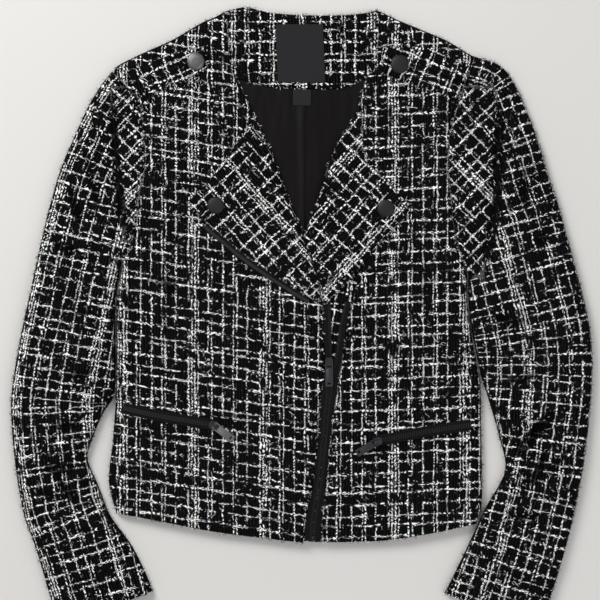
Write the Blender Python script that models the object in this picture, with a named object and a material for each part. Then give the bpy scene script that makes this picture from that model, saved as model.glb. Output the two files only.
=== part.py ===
"""Cropped tweed jacket, laid flat on its back with the sleeves down its sides.

Millimetres in the tables, metres in the model. +Y runs to the neck, +Z is up, and the
wearer's right is at -X. Every cloth piece is a sheet between four edges: a height function
gives its outer face, and Solidify gives its wall.
"""
import math

import bmesh
import bpy
import numpy as np
from mathutils import Matrix, Vector

for old in list(bpy.data.objects):
    bpy.data.objects.remove(old, do_unlink=True)

MM = 0.001

# Cloth walls
TWEED = 2.2
LINING = 1.0
TAPE = 1.2
LABEL = 0.8
SEAM_GAP = 0.5
ARMHOLE_GAP = 0.8
LAYER_GAP = 0.4

# Heights of the outer faces above the surface that the jacket lies on
BACK_TOP = TWEED
SEAM_TOP = 3.4
BODY_TOP = 11.0
ARMHOLE_TOP = 13.0
BODY_ROLL = 9.0
SLEEVE_ROLL = 16.0
ARMHOLE_EASE = 26.0
SLEEVE_EASE = 60.0

# Shares across a sheet where its points stand, closer together at a rolled edge
ONE_ROLL = (0.0, 0.006, 0.018, 0.035, 0.06, 0.17, 0.32, 0.48, 0.64, 0.8, 1.0)
SLEEVE_SHARES = (0.0, 0.012, 0.036, 0.075, 0.14, 0.32, 0.5, 0.68, 0.86, 0.925, 0.964, 0.988, 1.0)
UNDER_SHARES = (0.0, 0.33, 0.67, 1.0)
SCYE_ROWS = 6
SIDE_ROWS = 8
SLEEVE_ROWS = 15
UNDER_ROWS = 10

# Height of each sleeve's crown, from the shoulder to the cuff
SLEEVE_HEIGHTS = (
    # y, z
    (260.0, 13.0),
    (180.0, 15.0),
    (60.0, 17.0),
    (-60.0, 17.0),
    (-160.0, 16.0),
    (-250.0, 15.0),
    (-330.0, 13.0),
)

# Outlines: x and y of each point
RIGHT_SHOULDER = ((-198, 258), (-193, 266), (-167, 279), (-136, 293), (-106, 310.5), (-91, 317), (-81, 323))
LEFT_SHOULDER = ((78, 324.5), (84.5, 322), (101, 314), (124, 304.5), (153, 292), (173, 280), (182, 275))
BACK_NECK = ((-81, 323), (-60, 327), (-30, 321), (9, 318.5), (48, 319), (71, 321.6), (78, 324.5))
RIGHT_ARMHOLE = (
    (-198, 258), (-185, 245), (-173, 232), (-168.5, 224), (-166.4, 200), (-163.5, 173),
    (-165, 150), (-170.6, 128), (-173, 99), (-180, 73.5), (-189, 57),
)
LEFT_ARMHOLE = (
    (182, 275), (173, 250), (165.5, 229), (158, 203), (154, 181), (153.3, 153),
    (157, 124), (160, 92), (167, 67), (174.5, 45),
)
HEAD_POINTS = {"right": 4, "left": 3}
RIGHT_SIDE = (
    (-189, 57), (-194.7, 19), (-195, -22), (-195.3, -78), (-197, -105), (-199, -132),
    (-202.5, -160), (-202, -180), (-195, -205),
)
LEFT_SIDE = (
    (174.5, 45), (174, 23), (176, 0), (180.5, -35), (187.5, -78), (188, -109), (190, -142),
    (190, -195), (185, -216),
)
BACK_HEM = ((-195, -205), (-152, -213), (-82, -226), (12, -236), (84.5, -234), (138, -226), (185, -216))
RIGHT_HEM = ((-195, -205), (-152, -213), (-82, -226), (1.6, -236))
LEFT_HEM = ((22, -235), (84.5, -234), (138, -226), (185, -216))
RIGHT_FRONT_EDGE = (
    (-81, 323), (-78, 302), (-76.5, 281), (-74, 262), (-67, 249), (-53, 219.5), (-34.5, 177.5),
    (-20.5, 140.7), (-6.8, 107), (2, 84), (11.5, 57), (18, 35), (22, 18), (22, -8), (23, -37),
    (22.6, -66), (18.4, -86), (17.3, -118), (14.2, -149), (10, -181), (3.7, -212), (1.6, -236),
)
LEFT_FRONT_EDGE = (
    (78, 324.5), (81, 313), (79.5, 279), (78, 262), (67.7, 251), (58, 215), (38, 182), (27, 150),
    (42, 100), (58, 60), (56, 26), (48.8, -8), (44.6, -37), (39.5, -66), (36.3, -86), (32, -118),
    (29, -149), (26, -181), (22, -212), (22, -235),
)
RIGHT_SLEEVE_OUTER = (
    (-199.4, 259.0), (-207.5, 250), (-224, 224), (-241, 187), (-254.6, 154), (-269, 103), (-283, 40),
    (-296.6, -23), (-304, -68), (-306, -96), (-302, -150), (-293, -205), (-280, -242),
    (-264, -296), (-256, -325.5),
)
RIGHT_SLEEVE_INNER = (
    (-190.4, 56.5), (-196.4, 19), (-197, -22), (-198, -78), (-209, -100), (-222, -132), (-225, -150),
    (-214, -177), (-201, -209), (-180, -238), (-166, -265), (-157, -287),
)
LEFT_SLEEVE_OUTER = (
    (182.8, 275.2), (203, 269), (216, 259.4), (227, 241.5), (238, 216), (250, 184), (261, 147),
    (269, 124), (281, 82), (290, 48), (301, 4), (306, -35), (305, -84), (296.6, -158), (282, -228),
    (262, -296), (251.5, -327.4),
)
LEFT_SLEEVE_INNER = (
    (176, 44.4), (176, 23), (178.5, -2), (184.5, -33), (192, -58), (198.5, -84), (207, -120),
    (215, -156), (207, -178), (195, -198), (171, -249), (151, -290),
)
RIGHT_ROLL_LINE = ((-54, 203), (-35, 177.5), (-21, 140.7), (-7.5, 107), (1.6, 84), (11, 57), (17.4, 35), (20.5, 18))
RIGHT_LAPEL_TOP = ((-54, 203), (-62.5, 190), (-76, 173), (-96, 145), (-110, 131), (-118, 123))
RIGHT_LAPEL_LOW = ((-118, 123), (-114, 115), (-98.4, 100), (-87, 90), (-54, 63), (-17, 38), (10, 21.5), (20.5, 18))
LEFT_ROLL_LINE = ((62, 226), (58.5, 215), (38.5, 182), (26.5, 147), (14.5, 115), (5, 84), (12.5, 57), (19, 35), (24, 14))
LEFT_LAPEL_TOP = ((62, 226), (64, 190), (66, 167), (84, 149), (100, 131.5), (114, 118))
LEFT_LAPEL_LOW = ((114, 118), (110, 108), (98, 95.5), (83.5, 82), (65, 58), (54, 44), (42.5, 33), (24, 14))
FACING_SEAM = ((-84, 249), (-70, 252), (-45, 246), (-27, 243), (0, 241.5), (25, 241.5), (48, 243), (68, 252), (83, 249))

# Epaulettes: the corners of each, wide end first, then the rounded end by the neck
EPAULETTES = {
    "right": ((-183.5, 258), (-169, 233), (-137, 243), (-113, 255), (-98, 264), (-103, 284), (-140, 275)),
    "left": ((176, 262), (163, 231), (128, 241), (103, 250), (86, 256), (83, 283), (130, 283)),
}

# Folds pressed into the sleeves' outer face, each along its line of points
FOLDS = (
    # width, depth, points
    (7.0, 3.0, ((-200, 236), (-197, 205), (-194, 158), (-189, 119), (-186, 84))),
    (7.0, 3.4, ((203, 236), (208, 212), (206, 166), (205, 119), (198, 82), (190, 48))),
    (7.0, 5.0, ((-262, -158), (-243, -156), (-226, -150))),
    (9.0, 3.0, ((-252, -176), (-232, -182), (-214, -180))),
    (7.0, 5.0, ((262, -93), (254, -108), (232, -138), (217, -156))),
    (9.0, 3.0, ((255, -150), (235, -172), (212, -178))),
)
FOLD_FADE = 16.0

# Centre pleat of the back lining
PLEAT_X = 3.0
PLEAT_WIDTH = 3.5
PLEAT_RISE = 1.1

# Share of a sleeve's outer edge that lies beside its armhole
OUTER_SCYE_SHARE = 0.36

# Zips: stations along each tape, x of its two edges
MAIN_ZIP_STATIONS = (
    # y, right tape from, right tape to, left tape from, left tape to
    (17.0, 23.0, 30.5, 45.4, 52.8),
    (-8.0, 23.2, 31.0, 40.0, 47.4),
    (-37.0, 24.2, 31.8, 36.0, 43.2),
    (-62.0, 24.0, 30.8, 31.4, 39.2),
    (-86.0, 20.0, 27.6, 28.1, 35.3),
    (-118.0, 18.4, 24.4, 24.9, 31.0),
    (-149.0, 15.4, 21.2, 21.7, 28.0),
    (-181.0, 11.2, 17.6, 18.1, 25.0),
    (-212.0, 5.0, 12.4, 12.9, 21.0),
    (-234.0, 3.0, 11.4, 11.9, 20.8),
)
POCKET_ZIPS = {
    "right": ((-187, -94.5), (-145, -103.5), (-89, -112.6)),
    "left": ((76, -129.6), (132, -119), (178, -112)),
}
POCKET_TAPE_WIDTH = 11.5
LAPEL_TAPE_WIDTH = 7.5

# Sliders and pulls: where each stands and which way it points, in degrees from +X
SLIDERS = (
    # name, x, y, slider heading, pull heading, pull tilt
    ("pocket_right", -92.5, -112.3, -10.0, -38.0, 9.0),
    ("pocket_left", 80.0, -129.2, 190.0, 212.0, 9.0),
    ("main", 29.0, -46.0, 268.0, 270.0, 7.0),
)
SLIDER_LENGTH = 9.0
SLIDER_WIDTH = 8.0
SLIDER_HEIGHT = 2.6
CROWN_REACH = 4.0
CROWN_WIDTH = 2.2
CROWN_WALL = 1.0
CROWN_ROOM = 2.4
PIVOT_RISE = 1.2
PIVOT_AHEAD = 1.2
PULL_LENGTH = 25.0
PULL_WIDTH = 8.0
PULL_WALL = 1.2

# Snap caps: place and diameter
SNAPS = (
    # name, x, y, diameter, layer it sits on
    ("epaulette_right", -111.0, 269.0, 18.5, "strap"),
    ("epaulette_left", 103.0, 266.0, 19.5, "strap"),
    ("lapel_right", -90.0, 118.0, 18.0, "lapel"),
    ("lapel_left", 88.5, 115.0, 18.5, "lapel"),
)
SNAP_PROFILE = (
    # share of the radius, height
    (0.0, 2.9), (0.42, 2.8), (0.74, 2.4), (0.92, 1.6), (1.0, 0.8), (0.94, 0.2), (0.86, 0.0), (0.0, 0.0),
)
SNAP_SEGMENTS = 24

MATERIALS = {
    # base colour, roughness, metallic
    "tweed": ((0.16, 0.16, 0.16), 0.9, 0.0),
    "lining": ((0.012, 0.012, 0.013), 0.35, 0.0),
    "label": ((0.03, 0.03, 0.032), 0.6, 0.0),
    "zip_tape": ((0.012, 0.012, 0.012), 0.8, 0.0),
    "gunmetal": ((0.05, 0.05, 0.052), 0.35, 0.9),
    "snap_cap": ((0.045, 0.045, 0.045), 0.5, 0.3),
}


def material(name):
    """A Principled BSDF of the named finish."""
    made = bpy.data.materials.get(name)
    if made is None:
        colour, rough, metal = MATERIALS[name]
        made = bpy.data.materials.new(name)
        made.use_nodes = True
        shader = made.node_tree.nodes["Principled BSDF"]
        shader.inputs["Base Color"].default_value = (*colour, 1.0)
        shader.inputs["Roughness"].default_value = rough
        shader.inputs["Metallic"].default_value = metal
    return made


def add_object(name, mesh, finish):
    """Link a mesh as the named sub-part, with its finish."""
    piece = bpy.data.objects.new(name, mesh)
    mesh.materials.append(material(finish))
    bpy.context.scene.collection.objects.link(piece)
    return piece


def curve(points, steps=10):
    """A smooth curve through the points (Catmull-Rom), as a fine polyline."""
    pts = np.array(points, dtype=float)
    if len(pts) == 2:
        return pts
    ends = np.vstack([2 * pts[0] - pts[1], pts, 2 * pts[-1] - pts[-2]])
    out = []
    for a, b, c, d in zip(ends[:-3], ends[1:-2], ends[2:-1], ends[3:]):
        for t in np.linspace(0.0, 1.0, steps, endpoint=False):
            out.append(0.5 * (2 * b + (c - a) * t + (2 * a - 5 * b + 4 * c - d) * t ** 2
                              + (3 * b - a - 3 * c + d) * t ** 3))
    out.append(pts[-1])
    return np.array(out)


def joined(*lines):
    """Polylines end to end, as one, with a corner where they meet."""
    return np.vstack([lines[0]] + [line[1:] for line in lines[1:]])


def running_length(line):
    """Length along a polyline at each of its points."""
    return np.concatenate([[0.0], np.cumsum(np.linalg.norm(np.diff(line, axis=0), axis=1))])


def along(line, shares):
    """Points at the given shares of a polyline's length."""
    run = running_length(line)
    where = np.array(shares) * run[-1]
    return np.column_stack([np.interp(where, run, line[:, k]) for k in range(2)])


def offset(line, distance):
    """A polyline moved to the right of its direction."""
    way = np.gradient(line, axis=0)
    way /= np.linalg.norm(way, axis=1)[:, None]
    return line + distance * np.column_stack([way[:, 1], -way[:, 0]])


def distance_to(line, x, y):
    """Shortest distance from a point to a polyline."""
    start, step = line[:-1], np.diff(line, axis=0)
    here = np.array((x, y)) - start
    share = np.clip(np.sum(here * step, axis=1) / np.maximum(np.sum(step * step, axis=1), 1e-9), 0.0, 1.0)
    return float(np.min(np.linalg.norm(here - share[:, None] * step, axis=1)))


def even(count):
    """Shares of a number of equal steps."""
    return list(np.linspace(0.0, 1.0, count + 1))


def part_shares(parts):
    """Shares down a joined polyline, from each part's own shares."""
    lengths = [running_length(line)[-1] for line, _ in parts]
    total, start, shares = sum(lengths), 0.0, [0.0]
    for (_, own), size in zip(parts, lengths):
        shares += [(start + share * size) / total for share in own[1:]]
        start += size
    return shares


def patch(top, bottom, left, right, across, down, down_right=None):
    """Grid of points between four edges that share their corners (a Coons patch)."""
    down_right = down if down_right is None else down_right
    t, b = along(top, across), along(bottom, across)
    l, r = along(left, down), along(right, down_right)
    u = np.array(across)[None, :, None]
    v = 0.5 * (np.array(down) + np.array(down_right))[:, None, None]
    ruled = (1 - v) * t[None] + v * b[None] + (1 - u) * l[:, None] + u * r[:, None]
    corners = (1 - v) * ((1 - u) * t[0] + u * t[-1]) + v * ((1 - u) * b[0] + u * b[-1])
    return ruled - corners


def sheet(name, grid, height, wall, finish):
    """A cloth sheet: its outer face over the grid, its wall below."""
    rows, columns = grid.shape[:2]
    points = [(x * MM, y * MM, height(x, y) * MM) for x, y in grid.reshape(-1, 2)]
    faces = []
    for i in range(rows - 1):
        for j in range(columns - 1):
            k = i * columns + j
            faces.append((k, k + columns, k + columns + 1, k + 1))
    mesh = bpy.data.meshes.new(name)
    mesh.from_pydata(points, [], faces)
    mesh.shade_smooth()
    piece = add_object(name, mesh, finish)
    thicken = piece.modifiers.new("Wall", "SOLIDIFY")
    thicken.thickness = wall * MM
    thicken.offset = -1.0
    return piece


SHOULDERS = {"right": curve(RIGHT_SHOULDER), "left": curve(LEFT_SHOULDER)}
SIDES = {"right": curve(RIGHT_SIDE), "left": curve(LEFT_SIDE)}
ARMHOLES = {"right": curve(RIGHT_ARMHOLE), "left": curve(LEFT_ARMHOLE)}
OUTERS = {"right": curve(RIGHT_SLEEVE_OUTER), "left": curve(LEFT_SLEEVE_OUTER)}
INNERS = {"right": curve(RIGHT_SLEEVE_INNER), "left": curve(LEFT_SLEEVE_INNER)}
HEADS = {side: line[:10 * HEAD_POINTS[side] - 9] for side, line in ARMHOLES.items()}
SCYES = {side: line[10 * HEAD_POINTS[side] - 10:] for side, line in ARMHOLES.items()}
ROLLED_EDGES = list(SHOULDERS.values()) + list(SIDES.values())
FOLD_LINES = [(width, depth, curve(points)) for width, depth, points in FOLDS]


def roll(distance, width):
    """Rise of a rolled edge, from 0 at the edge to 1, as a quarter of an ellipse."""
    t = min(distance / width, 1.0)
    return math.sqrt(max(0.0, 1.0 - (1.0 - t) ** 2))


def fold_depth(x, y):
    """Depth that the folds press into the cloth at a point, fading at their ends."""
    depth = 0.0
    for width, deepest, line in FOLD_LINES:
        near = distance_to(line, x, y)
        if near < 3.0 * width:
            end = min(math.dist((x, y), line[0]), math.dist((x, y), line[-1]))
            depth += deepest * math.exp(-(near / width) ** 2) * (1.0 - 0.6 * math.exp(-(end / FOLD_FADE) ** 2))
    return depth


def body_top(x, y):
    """Height of the fronts' outer face."""
    edge = min(distance_to(line, x, y) for line in ROLLED_EDGES)
    arm = min(distance_to(line, x, y) for line in ARMHOLES.values())
    crown = BODY_TOP + (ARMHOLE_TOP - BODY_TOP) * math.exp(-(arm / ARMHOLE_EASE) ** 2)
    return SEAM_TOP + (crown - SEAM_TOP) * roll(edge, BODY_ROLL)


def sleeve_top(side):
    """The height function of a top sleeve's outer face."""
    ys = [row[0] for row in reversed(SLEEVE_HEIGHTS)]
    zs = [row[1] for row in reversed(SLEEVE_HEIGHTS)]

    def height(x, y):
        crown = float(np.interp(y, ys, zs))
        near = math.exp(-(distance_to(ARMHOLES[side], x, y) / SLEEVE_EASE) ** 2)
        crown += (ARMHOLE_TOP - crown) * near
        edge = min(distance_to(line, x, y) for line in (OUTERS[side], INNERS[side]))
        return SEAM_TOP + (crown - SEAM_TOP - fold_depth(x, y)) * roll(edge, SLEEVE_ROLL)

    return height


def flat(z):
    """A height function that is the same all over."""
    return lambda x, y: z


def above_body(extra):
    """A height function that follows the fronts' outer face, higher by a fixed amount."""
    return lambda x, y: body_top(x, y) + extra


STRAP_TOP = LAYER_GAP + TWEED
LAPEL_TOP = BODY_TOP + LAYER_GAP + TWEED
UNDERLAP_TOP = BODY_TOP - TWEED - LAYER_GAP
MAIN_TAPE_TOP = UNDERLAP_TOP + LAYER_GAP + TAPE
LINING_TOP = BACK_TOP + LAYER_GAP + LINING
FACING_TOP = BACK_TOP + LAYER_GAP + TWEED


def box_patch(corners, across, down):
    """Grid over a four-sided piece, from its corners: top left, top right, bottom left, bottom right."""
    a, b, c, d = (np.array(corner, dtype=float) for corner in corners)
    return patch(np.array((a, b)), np.array((c, d)), np.array((a, c)), np.array((b, d)), even(across), even(down))


def panel_side(side, head_shares):
    """A body panel's side, armhole and side seam, with its shares."""
    rows = ((HEADS[side], head_shares), (SCYES[side], even(SCYE_ROWS)), (SIDES[side], even(SIDE_ROWS)))
    return joined(*(line for line, _ in rows)), part_shares(rows)


def back_pieces():
    """Back, its neck facing, the lining that shows in the neck, and the two labels."""
    top = joined(SHOULDERS["right"], curve(BACK_NECK), SHOULDERS["left"])
    left, down = panel_side("right", UNDER_SHARES)
    right, down_right = panel_side("left", UNDER_SHARES)
    grid = patch(top, curve(BACK_HEM), left, right, even(15), down, down_right)
    sheet("back", grid, flat(BACK_TOP), TWEED, "tweed")

    neck = ((-76.5, 322),) + BACK_NECK[1:-1] + ((74, 322.4),)
    left = ((-76.5, 322), (-76, 311), (-84, 296), (-87, 270), (-84, 249))
    right = ((74, 322.4), (77, 311), (86, 296), (87, 270), (83, 249))
    across = (0.0, 0.1, 0.22, 0.34, 0.44, 0.485, 0.51, 0.53, 0.58, 0.68, 0.8, 0.9, 1.0)
    grid = patch(curve(neck), curve(FACING_SEAM), curve(left), curve(right), across, even(4))
    sheet("back_neck_facing", grid, flat(FACING_TOP), TWEED, "tweed")

    seam = tuple((x, y - SEAM_GAP) for x, y in FACING_SEAM)
    left = (seam[0], (-76, 205), (-56, 150), (-38, 105), (-26, 64))
    right = (seam[-1], (80, 205), (62, 150), (44, 105), (30, 64))
    grid = patch(curve(seam), curve((left[-1], right[-1])), curve(left), curve(right), across, even(7))

    def gathered(x, y):
        return LINING_TOP + PLEAT_RISE * math.exp(-((x - PLEAT_X) / PLEAT_WIDTH) ** 2)

    sheet("back_lining", grid, gathered, LINING, "lining")

    grid = box_patch(((-27.3, 309), (22.6, 309), (-25, 248), (25, 248)), 3, 3)
    sheet("main_label", grid, flat(FACING_TOP + LAYER_GAP + LABEL), LABEL, "label")
    grid = box_patch(((-9, 240), (10, 240), (-9, 223.5), (10, 223.5)), 2, 2)
    sheet("size_label", grid, flat(LINING_TOP + PLEAT_RISE + LAYER_GAP + LABEL), LABEL, "label")


def front_pieces():
    """The two fronts and the underlap behind the zip."""
    left, down = panel_side("right", SLEEVE_SHARES)
    edge = curve(RIGHT_FRONT_EDGE)
    grid = patch(SHOULDERS["right"], curve(RIGHT_HEM), left, edge, ONE_ROLL, down)
    sheet("front_right", grid, body_top, TWEED, "tweed")

    right, down = panel_side("left", SLEEVE_SHARES)
    edge = curve(LEFT_FRONT_EDGE)
    across = [1.0 - share for share in reversed(ONE_ROLL)]
    grid = patch(SHOULDERS["left"], curve(LEFT_HEM), edge, right, across, down)
    sheet("front_left", grid, body_top, TWEED, "tweed")

    left = ((-4, 84), (6, 57), (12, 35), (15, 18), (15, -37), (11, -86), (7, -149), (-4, -230))
    right = ((20, 88), (58, 70), (66, 40), (60, 0), (50, -60), (42, -110), (37, -160), (30, -230))
    ends = curve((left[0], right[0])), curve((left[-1], right[-1]))
    grid = patch(*ends, curve(left), curve(right), even(3), even(12))
    sheet("zip_underlap", grid, flat(UNDERLAP_TOP), TWEED, "tweed")


def trimmings():
    """Lapels and epaulettes, which lie on the fronts."""
    grid = patch(curve(RIGHT_LAPEL_TOP[::-1]), curve((RIGHT_ROLL_LINE[-1],) * 2), curve(RIGHT_LAPEL_LOW),
                 curve(RIGHT_ROLL_LINE), even(6), even(10))
    sheet("lapel_right", grid[:-1], flat(LAPEL_TOP), TWEED, "tweed")
    grid = patch(curve(LEFT_LAPEL_TOP), curve((LEFT_ROLL_LINE[-1],) * 2), curve(LEFT_ROLL_LINE),
                 curve(LEFT_LAPEL_LOW), even(6), even(10))
    sheet("lapel_left", grid[:-1], flat(LAPEL_TOP), TWEED, "tweed")

    for side, (a, b, low_mid, low_neck, end_low, end_top, top_mid) in EPAULETTES.items():
        upper, lower = curve((a, top_mid, end_top)), curve((b, low_mid, low_neck, end_low))
        seam, end = curve((a, b)), curve((end_top, end_low))
        if side == "right":
            grid = patch(upper, lower, seam, end, even(8), even(3))
        else:
            grid = patch(upper[::-1], lower[::-1], end, seam, even(8), even(3))
        sheet("epaulette_" + side, grid, above_body(STRAP_TOP), TWEED, "tweed")


def sleeve_grid(side, shares, rows):
    """Grid over a sleeve: its head across, its scye and inner seam down one side."""
    away = ARMHOLE_GAP if side == "right" else -ARMHOLE_GAP
    head, scye = offset(HEADS[side], away), offset(SCYES[side], away)
    outer, inner = OUTERS[side], INNERS[side]
    head = joined(outer[:1], head[1:])
    scye = joined(scye[:-1], inner[:1])
    cuff = np.array((outer[-1], inner[-1]))
    seam, down = joined(scye, inner), part_shares(((scye, even(SCYE_ROWS)), (inner, even(rows))))
    level = OUTER_SCYE_SHARE * np.array(even(SCYE_ROWS))
    below = OUTER_SCYE_SHARE + (1.0 - OUTER_SCYE_SHARE) * np.array(even(rows))
    outer_down = list(level) + list(below[1:])
    if side == "right":
        return patch(head, cuff, outer, seam, shares, outer_down, down)
    flipped = [1.0 - share for share in reversed(shares)]
    return patch(head[::-1], cuff[::-1], seam, outer, flipped, down, outer_down)


def sleeve_pieces():
    """Top and under sleeve of both arms."""
    for side in ("right", "left"):
        grid = sleeve_grid(side, SLEEVE_SHARES, SLEEVE_ROWS)
        sheet("top_sleeve_" + side, grid, sleeve_top(side), TWEED, "tweed")
        grid = sleeve_grid(side, UNDER_SHARES, UNDER_ROWS)
        sheet("under_sleeve_" + side, grid, flat(BACK_TOP), TWEED, "tweed")


def tape_grid(line, near, far, count):
    """Grid over a tape between two distances to the right of a line."""
    return np.stack([along(offset(line, side), even(count)) for side in (near, far)])


def zip_tapes():
    """Tapes of the main zip, of the right lapel's edge and of both pockets."""
    for side, first in (("right", 1), ("left", 3)):
        left = curve([(row[first], row[0]) for row in MAIN_ZIP_STATIONS])
        right = curve([(row[first + 1], row[0]) for row in MAIN_ZIP_STATIONS])
        ends = np.array((left[0], right[0])), np.array((left[-1], right[-1]))
        grid = patch(*ends, left, right, (0.0, 1.0), even(14))
        sheet("main_zip_tape_" + side, grid, flat(MAIN_TAPE_TOP), TAPE, "zip_tape")

    edge = curve(RIGHT_LAPEL_LOW)[20:-10]
    grid = tape_grid(edge, SEAM_GAP + 0.2, LAPEL_TAPE_WIDTH, 10)
    sheet("lapel_zip_tape", grid, flat(BODY_TOP + LAYER_GAP + TAPE), TAPE, "zip_tape")

    for side, points in POCKET_ZIPS.items():
        grid = tape_grid(curve(points), -POCKET_TAPE_WIDTH / 2, POCKET_TAPE_WIDTH / 2, 8)
        sheet("pocket_zip_tape_" + side, grid, above_body(LAYER_GAP + TAPE), TAPE, "zip_tape")


def prism(name, outline, low, high, finish):
    """A straight-sided solid of a closed outline between two heights."""
    made = bmesh.new()
    ring = [made.verts.new((x * MM, y * MM, low * MM)) for x, y in outline]
    base = made.faces.new(ring)
    up = bmesh.ops.extrude_face_region(made, geom=[base])
    top = [v for v in up["geom"] if isinstance(v, bmesh.types.BMVert)]
    bmesh.ops.translate(made, verts=top, vec=(0.0, 0.0, (high - low) * MM))
    bmesh.ops.recalc_face_normals(made, faces=made.faces)
    mesh = bpy.data.meshes.new(name)
    made.to_mesh(mesh)
    made.free()
    return add_object(name, mesh, finish)


def slider_and_pull(name, x, y, heading, pull_heading, tilt):
    """A zip slider with its crown, and the pull that hangs on the crown's bar."""
    seat = MAIN_TAPE_TOP if name == "main" else body_top(x, y) + LAYER_GAP + TAPE
    low = seat + LAYER_GAP
    half, side = SLIDER_LENGTH / 2, SLIDER_WIDTH / 2
    outline = (
        (-half, -0.6 * side), (-0.5 * half, -side), (0.7 * half, -side), (half, -0.75 * side),
        (half, 0.75 * side), (0.7 * half, side), (-0.5 * half, side), (-half, 0.6 * side),
    )
    body = prism("slider_" + name, outline, 0.0, SLIDER_HEIGHT, "gunmetal")
    place = Matrix.Translation((x * MM, y * MM, low * MM)) @ Matrix.Rotation(math.radians(heading), 4, "Z")
    body.matrix_world = place

    staple = (
        (-CROWN_REACH, -0.3), (-CROWN_REACH, CROWN_ROOM + CROWN_WALL), (CROWN_REACH, CROWN_ROOM + CROWN_WALL),
        (CROWN_REACH, -0.3), (CROWN_REACH - CROWN_WALL, -0.3), (CROWN_REACH - CROWN_WALL, CROWN_ROOM),
        (CROWN_WALL - CROWN_REACH, CROWN_ROOM), (CROWN_WALL - CROWN_REACH, -0.3),
    )
    crown = prism("crown_" + name, staple, -CROWN_WIDTH / 2, CROWN_WIDTH / 2, "gunmetal")
    lift = Matrix.Translation((0.0, 0.0, SLIDER_HEIGHT * MM))
    crown.matrix_world = place @ lift @ Matrix.Rotation(math.radians(90.0), 4, "X")
    crown.hide_render = True
    crown.display_type = "WIRE"
    union = body.modifiers.new("Crown", "BOOLEAN")
    union.operation = "UNION"
    union.object = crown

    pivot = place @ Vector((PIVOT_AHEAD * MM, 0.0, (SLIDER_HEIGHT + PIVOT_RISE) * MM))
    half = PULL_WIDTH / 2
    window = half - 1.1
    loops = (
        ((-0.6, -half + 0.6), (0.0, -half), (PULL_LENGTH - 1.0, -half), (PULL_LENGTH, -half + 1.0),
         (PULL_LENGTH, half - 1.0), (PULL_LENGTH - 1.0, half), (0.0, half), (-0.6, half - 0.6)),
        ((0.5, -window), (0.5, window), (4.6, window), (4.6, -window)),
        ((PULL_LENGTH - 4.2, -1.9), (PULL_LENGTH - 4.2, 1.9), (PULL_LENGTH - 2.4, 1.9),
         (PULL_LENGTH - 2.4, -1.9)),
    )
    shape = bpy.data.curves.new("pull_outline_" + name, "CURVE")
    shape.dimensions = "2D"
    shape.fill_mode = "BOTH"
    shape.extrude = PULL_WALL / 2 * MM
    for loop in loops:
        spline = shape.splines.new("POLY")
        spline.points.add(len(loop) - 1)
        spline.use_cyclic_u = True
        for point, (px, py) in zip(spline.points, loop):
            point.co = (px * MM, py * MM, 0.0, 1.0)
    shape.materials.append(material("gunmetal"))
    pull = bpy.data.objects.new("pull_" + name, shape)
    bpy.context.scene.collection.objects.link(pull)
    turn = Matrix.Rotation(math.radians(pull_heading), 4, "Z") @ Matrix.Rotation(math.radians(tilt), 4, "Y")
    pull.matrix_world = Matrix.Translation(pivot) @ turn


def snap(name, x, y, diameter, layer):
    """A snap cap: a low dome turned about its own axis."""
    seat = LAPEL_TOP if layer == "lapel" else body_top(x, y) + STRAP_TOP
    made = bmesh.new()
    rings = []
    for share, z in SNAP_PROFILE[1:-1]:
        radius = share * diameter / 2 * MM
        turn = [2 * math.pi * k / SNAP_SEGMENTS for k in range(SNAP_SEGMENTS)]
        rings.append([made.verts.new((radius * math.cos(a), radius * math.sin(a), z * MM)) for a in turn])
    crown = made.verts.new((0.0, 0.0, SNAP_PROFILE[0][1] * MM))
    for k in range(SNAP_SEGMENTS):
        n = (k + 1) % SNAP_SEGMENTS
        made.faces.new((crown, rings[0][k], rings[0][n]))
        for upper, lower in zip(rings[:-1], rings[1:]):
            made.faces.new((upper[k], lower[k], lower[n], upper[n]))
    made.faces.new(list(reversed(rings[-1])))
    mesh = bpy.data.meshes.new("snap_" + name)
    made.to_mesh(mesh)
    made.free()
    mesh.shade_smooth()
    piece = add_object("snap_" + name, mesh, "snap_cap")
    piece.location = (x * MM, y * MM, (seat + LAYER_GAP) * MM)


back_pieces()
front_pieces()
trimmings()
sleeve_pieces()
zip_tapes()
for row in SLIDERS:
    slider_and_pull(*row)
for row in SNAPS:
    snap(*row)
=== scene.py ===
"""Looks of the cropped tweed jacket: fine cloth, trims, floor, light and camera.

Every sheet follows its solid's form on a finer grid, with listed folds, and carries a
UV map in metres that runs with the grain, which the tweed reads.
"""
import logging
import math
from dataclasses import dataclass, field
from enum import Enum
from typing import Callable

import bmesh
import bpy
import numpy as np
from mathutils import Matrix


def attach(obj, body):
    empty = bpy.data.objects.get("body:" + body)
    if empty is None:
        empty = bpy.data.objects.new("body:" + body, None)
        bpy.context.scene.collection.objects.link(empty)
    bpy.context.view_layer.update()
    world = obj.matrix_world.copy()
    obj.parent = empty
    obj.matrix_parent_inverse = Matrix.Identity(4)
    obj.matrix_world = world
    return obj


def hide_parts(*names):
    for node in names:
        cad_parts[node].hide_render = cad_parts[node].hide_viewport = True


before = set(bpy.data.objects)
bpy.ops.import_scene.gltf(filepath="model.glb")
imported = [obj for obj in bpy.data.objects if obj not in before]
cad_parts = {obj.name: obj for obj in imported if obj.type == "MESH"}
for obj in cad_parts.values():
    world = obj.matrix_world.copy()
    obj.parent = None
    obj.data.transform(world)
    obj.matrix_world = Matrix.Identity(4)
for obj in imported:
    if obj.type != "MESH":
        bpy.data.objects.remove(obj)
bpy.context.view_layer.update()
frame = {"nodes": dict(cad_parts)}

LOG = logging.getLogger("jacket")
MM = 0.001
NARROWEST = 0.0101
BODY = "jacket"
CURVE_STEPS = 10

Line = np.ndarray
Height = Callable[[np.ndarray], np.ndarray]
Points = tuple[tuple[float, float], ...]

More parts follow.
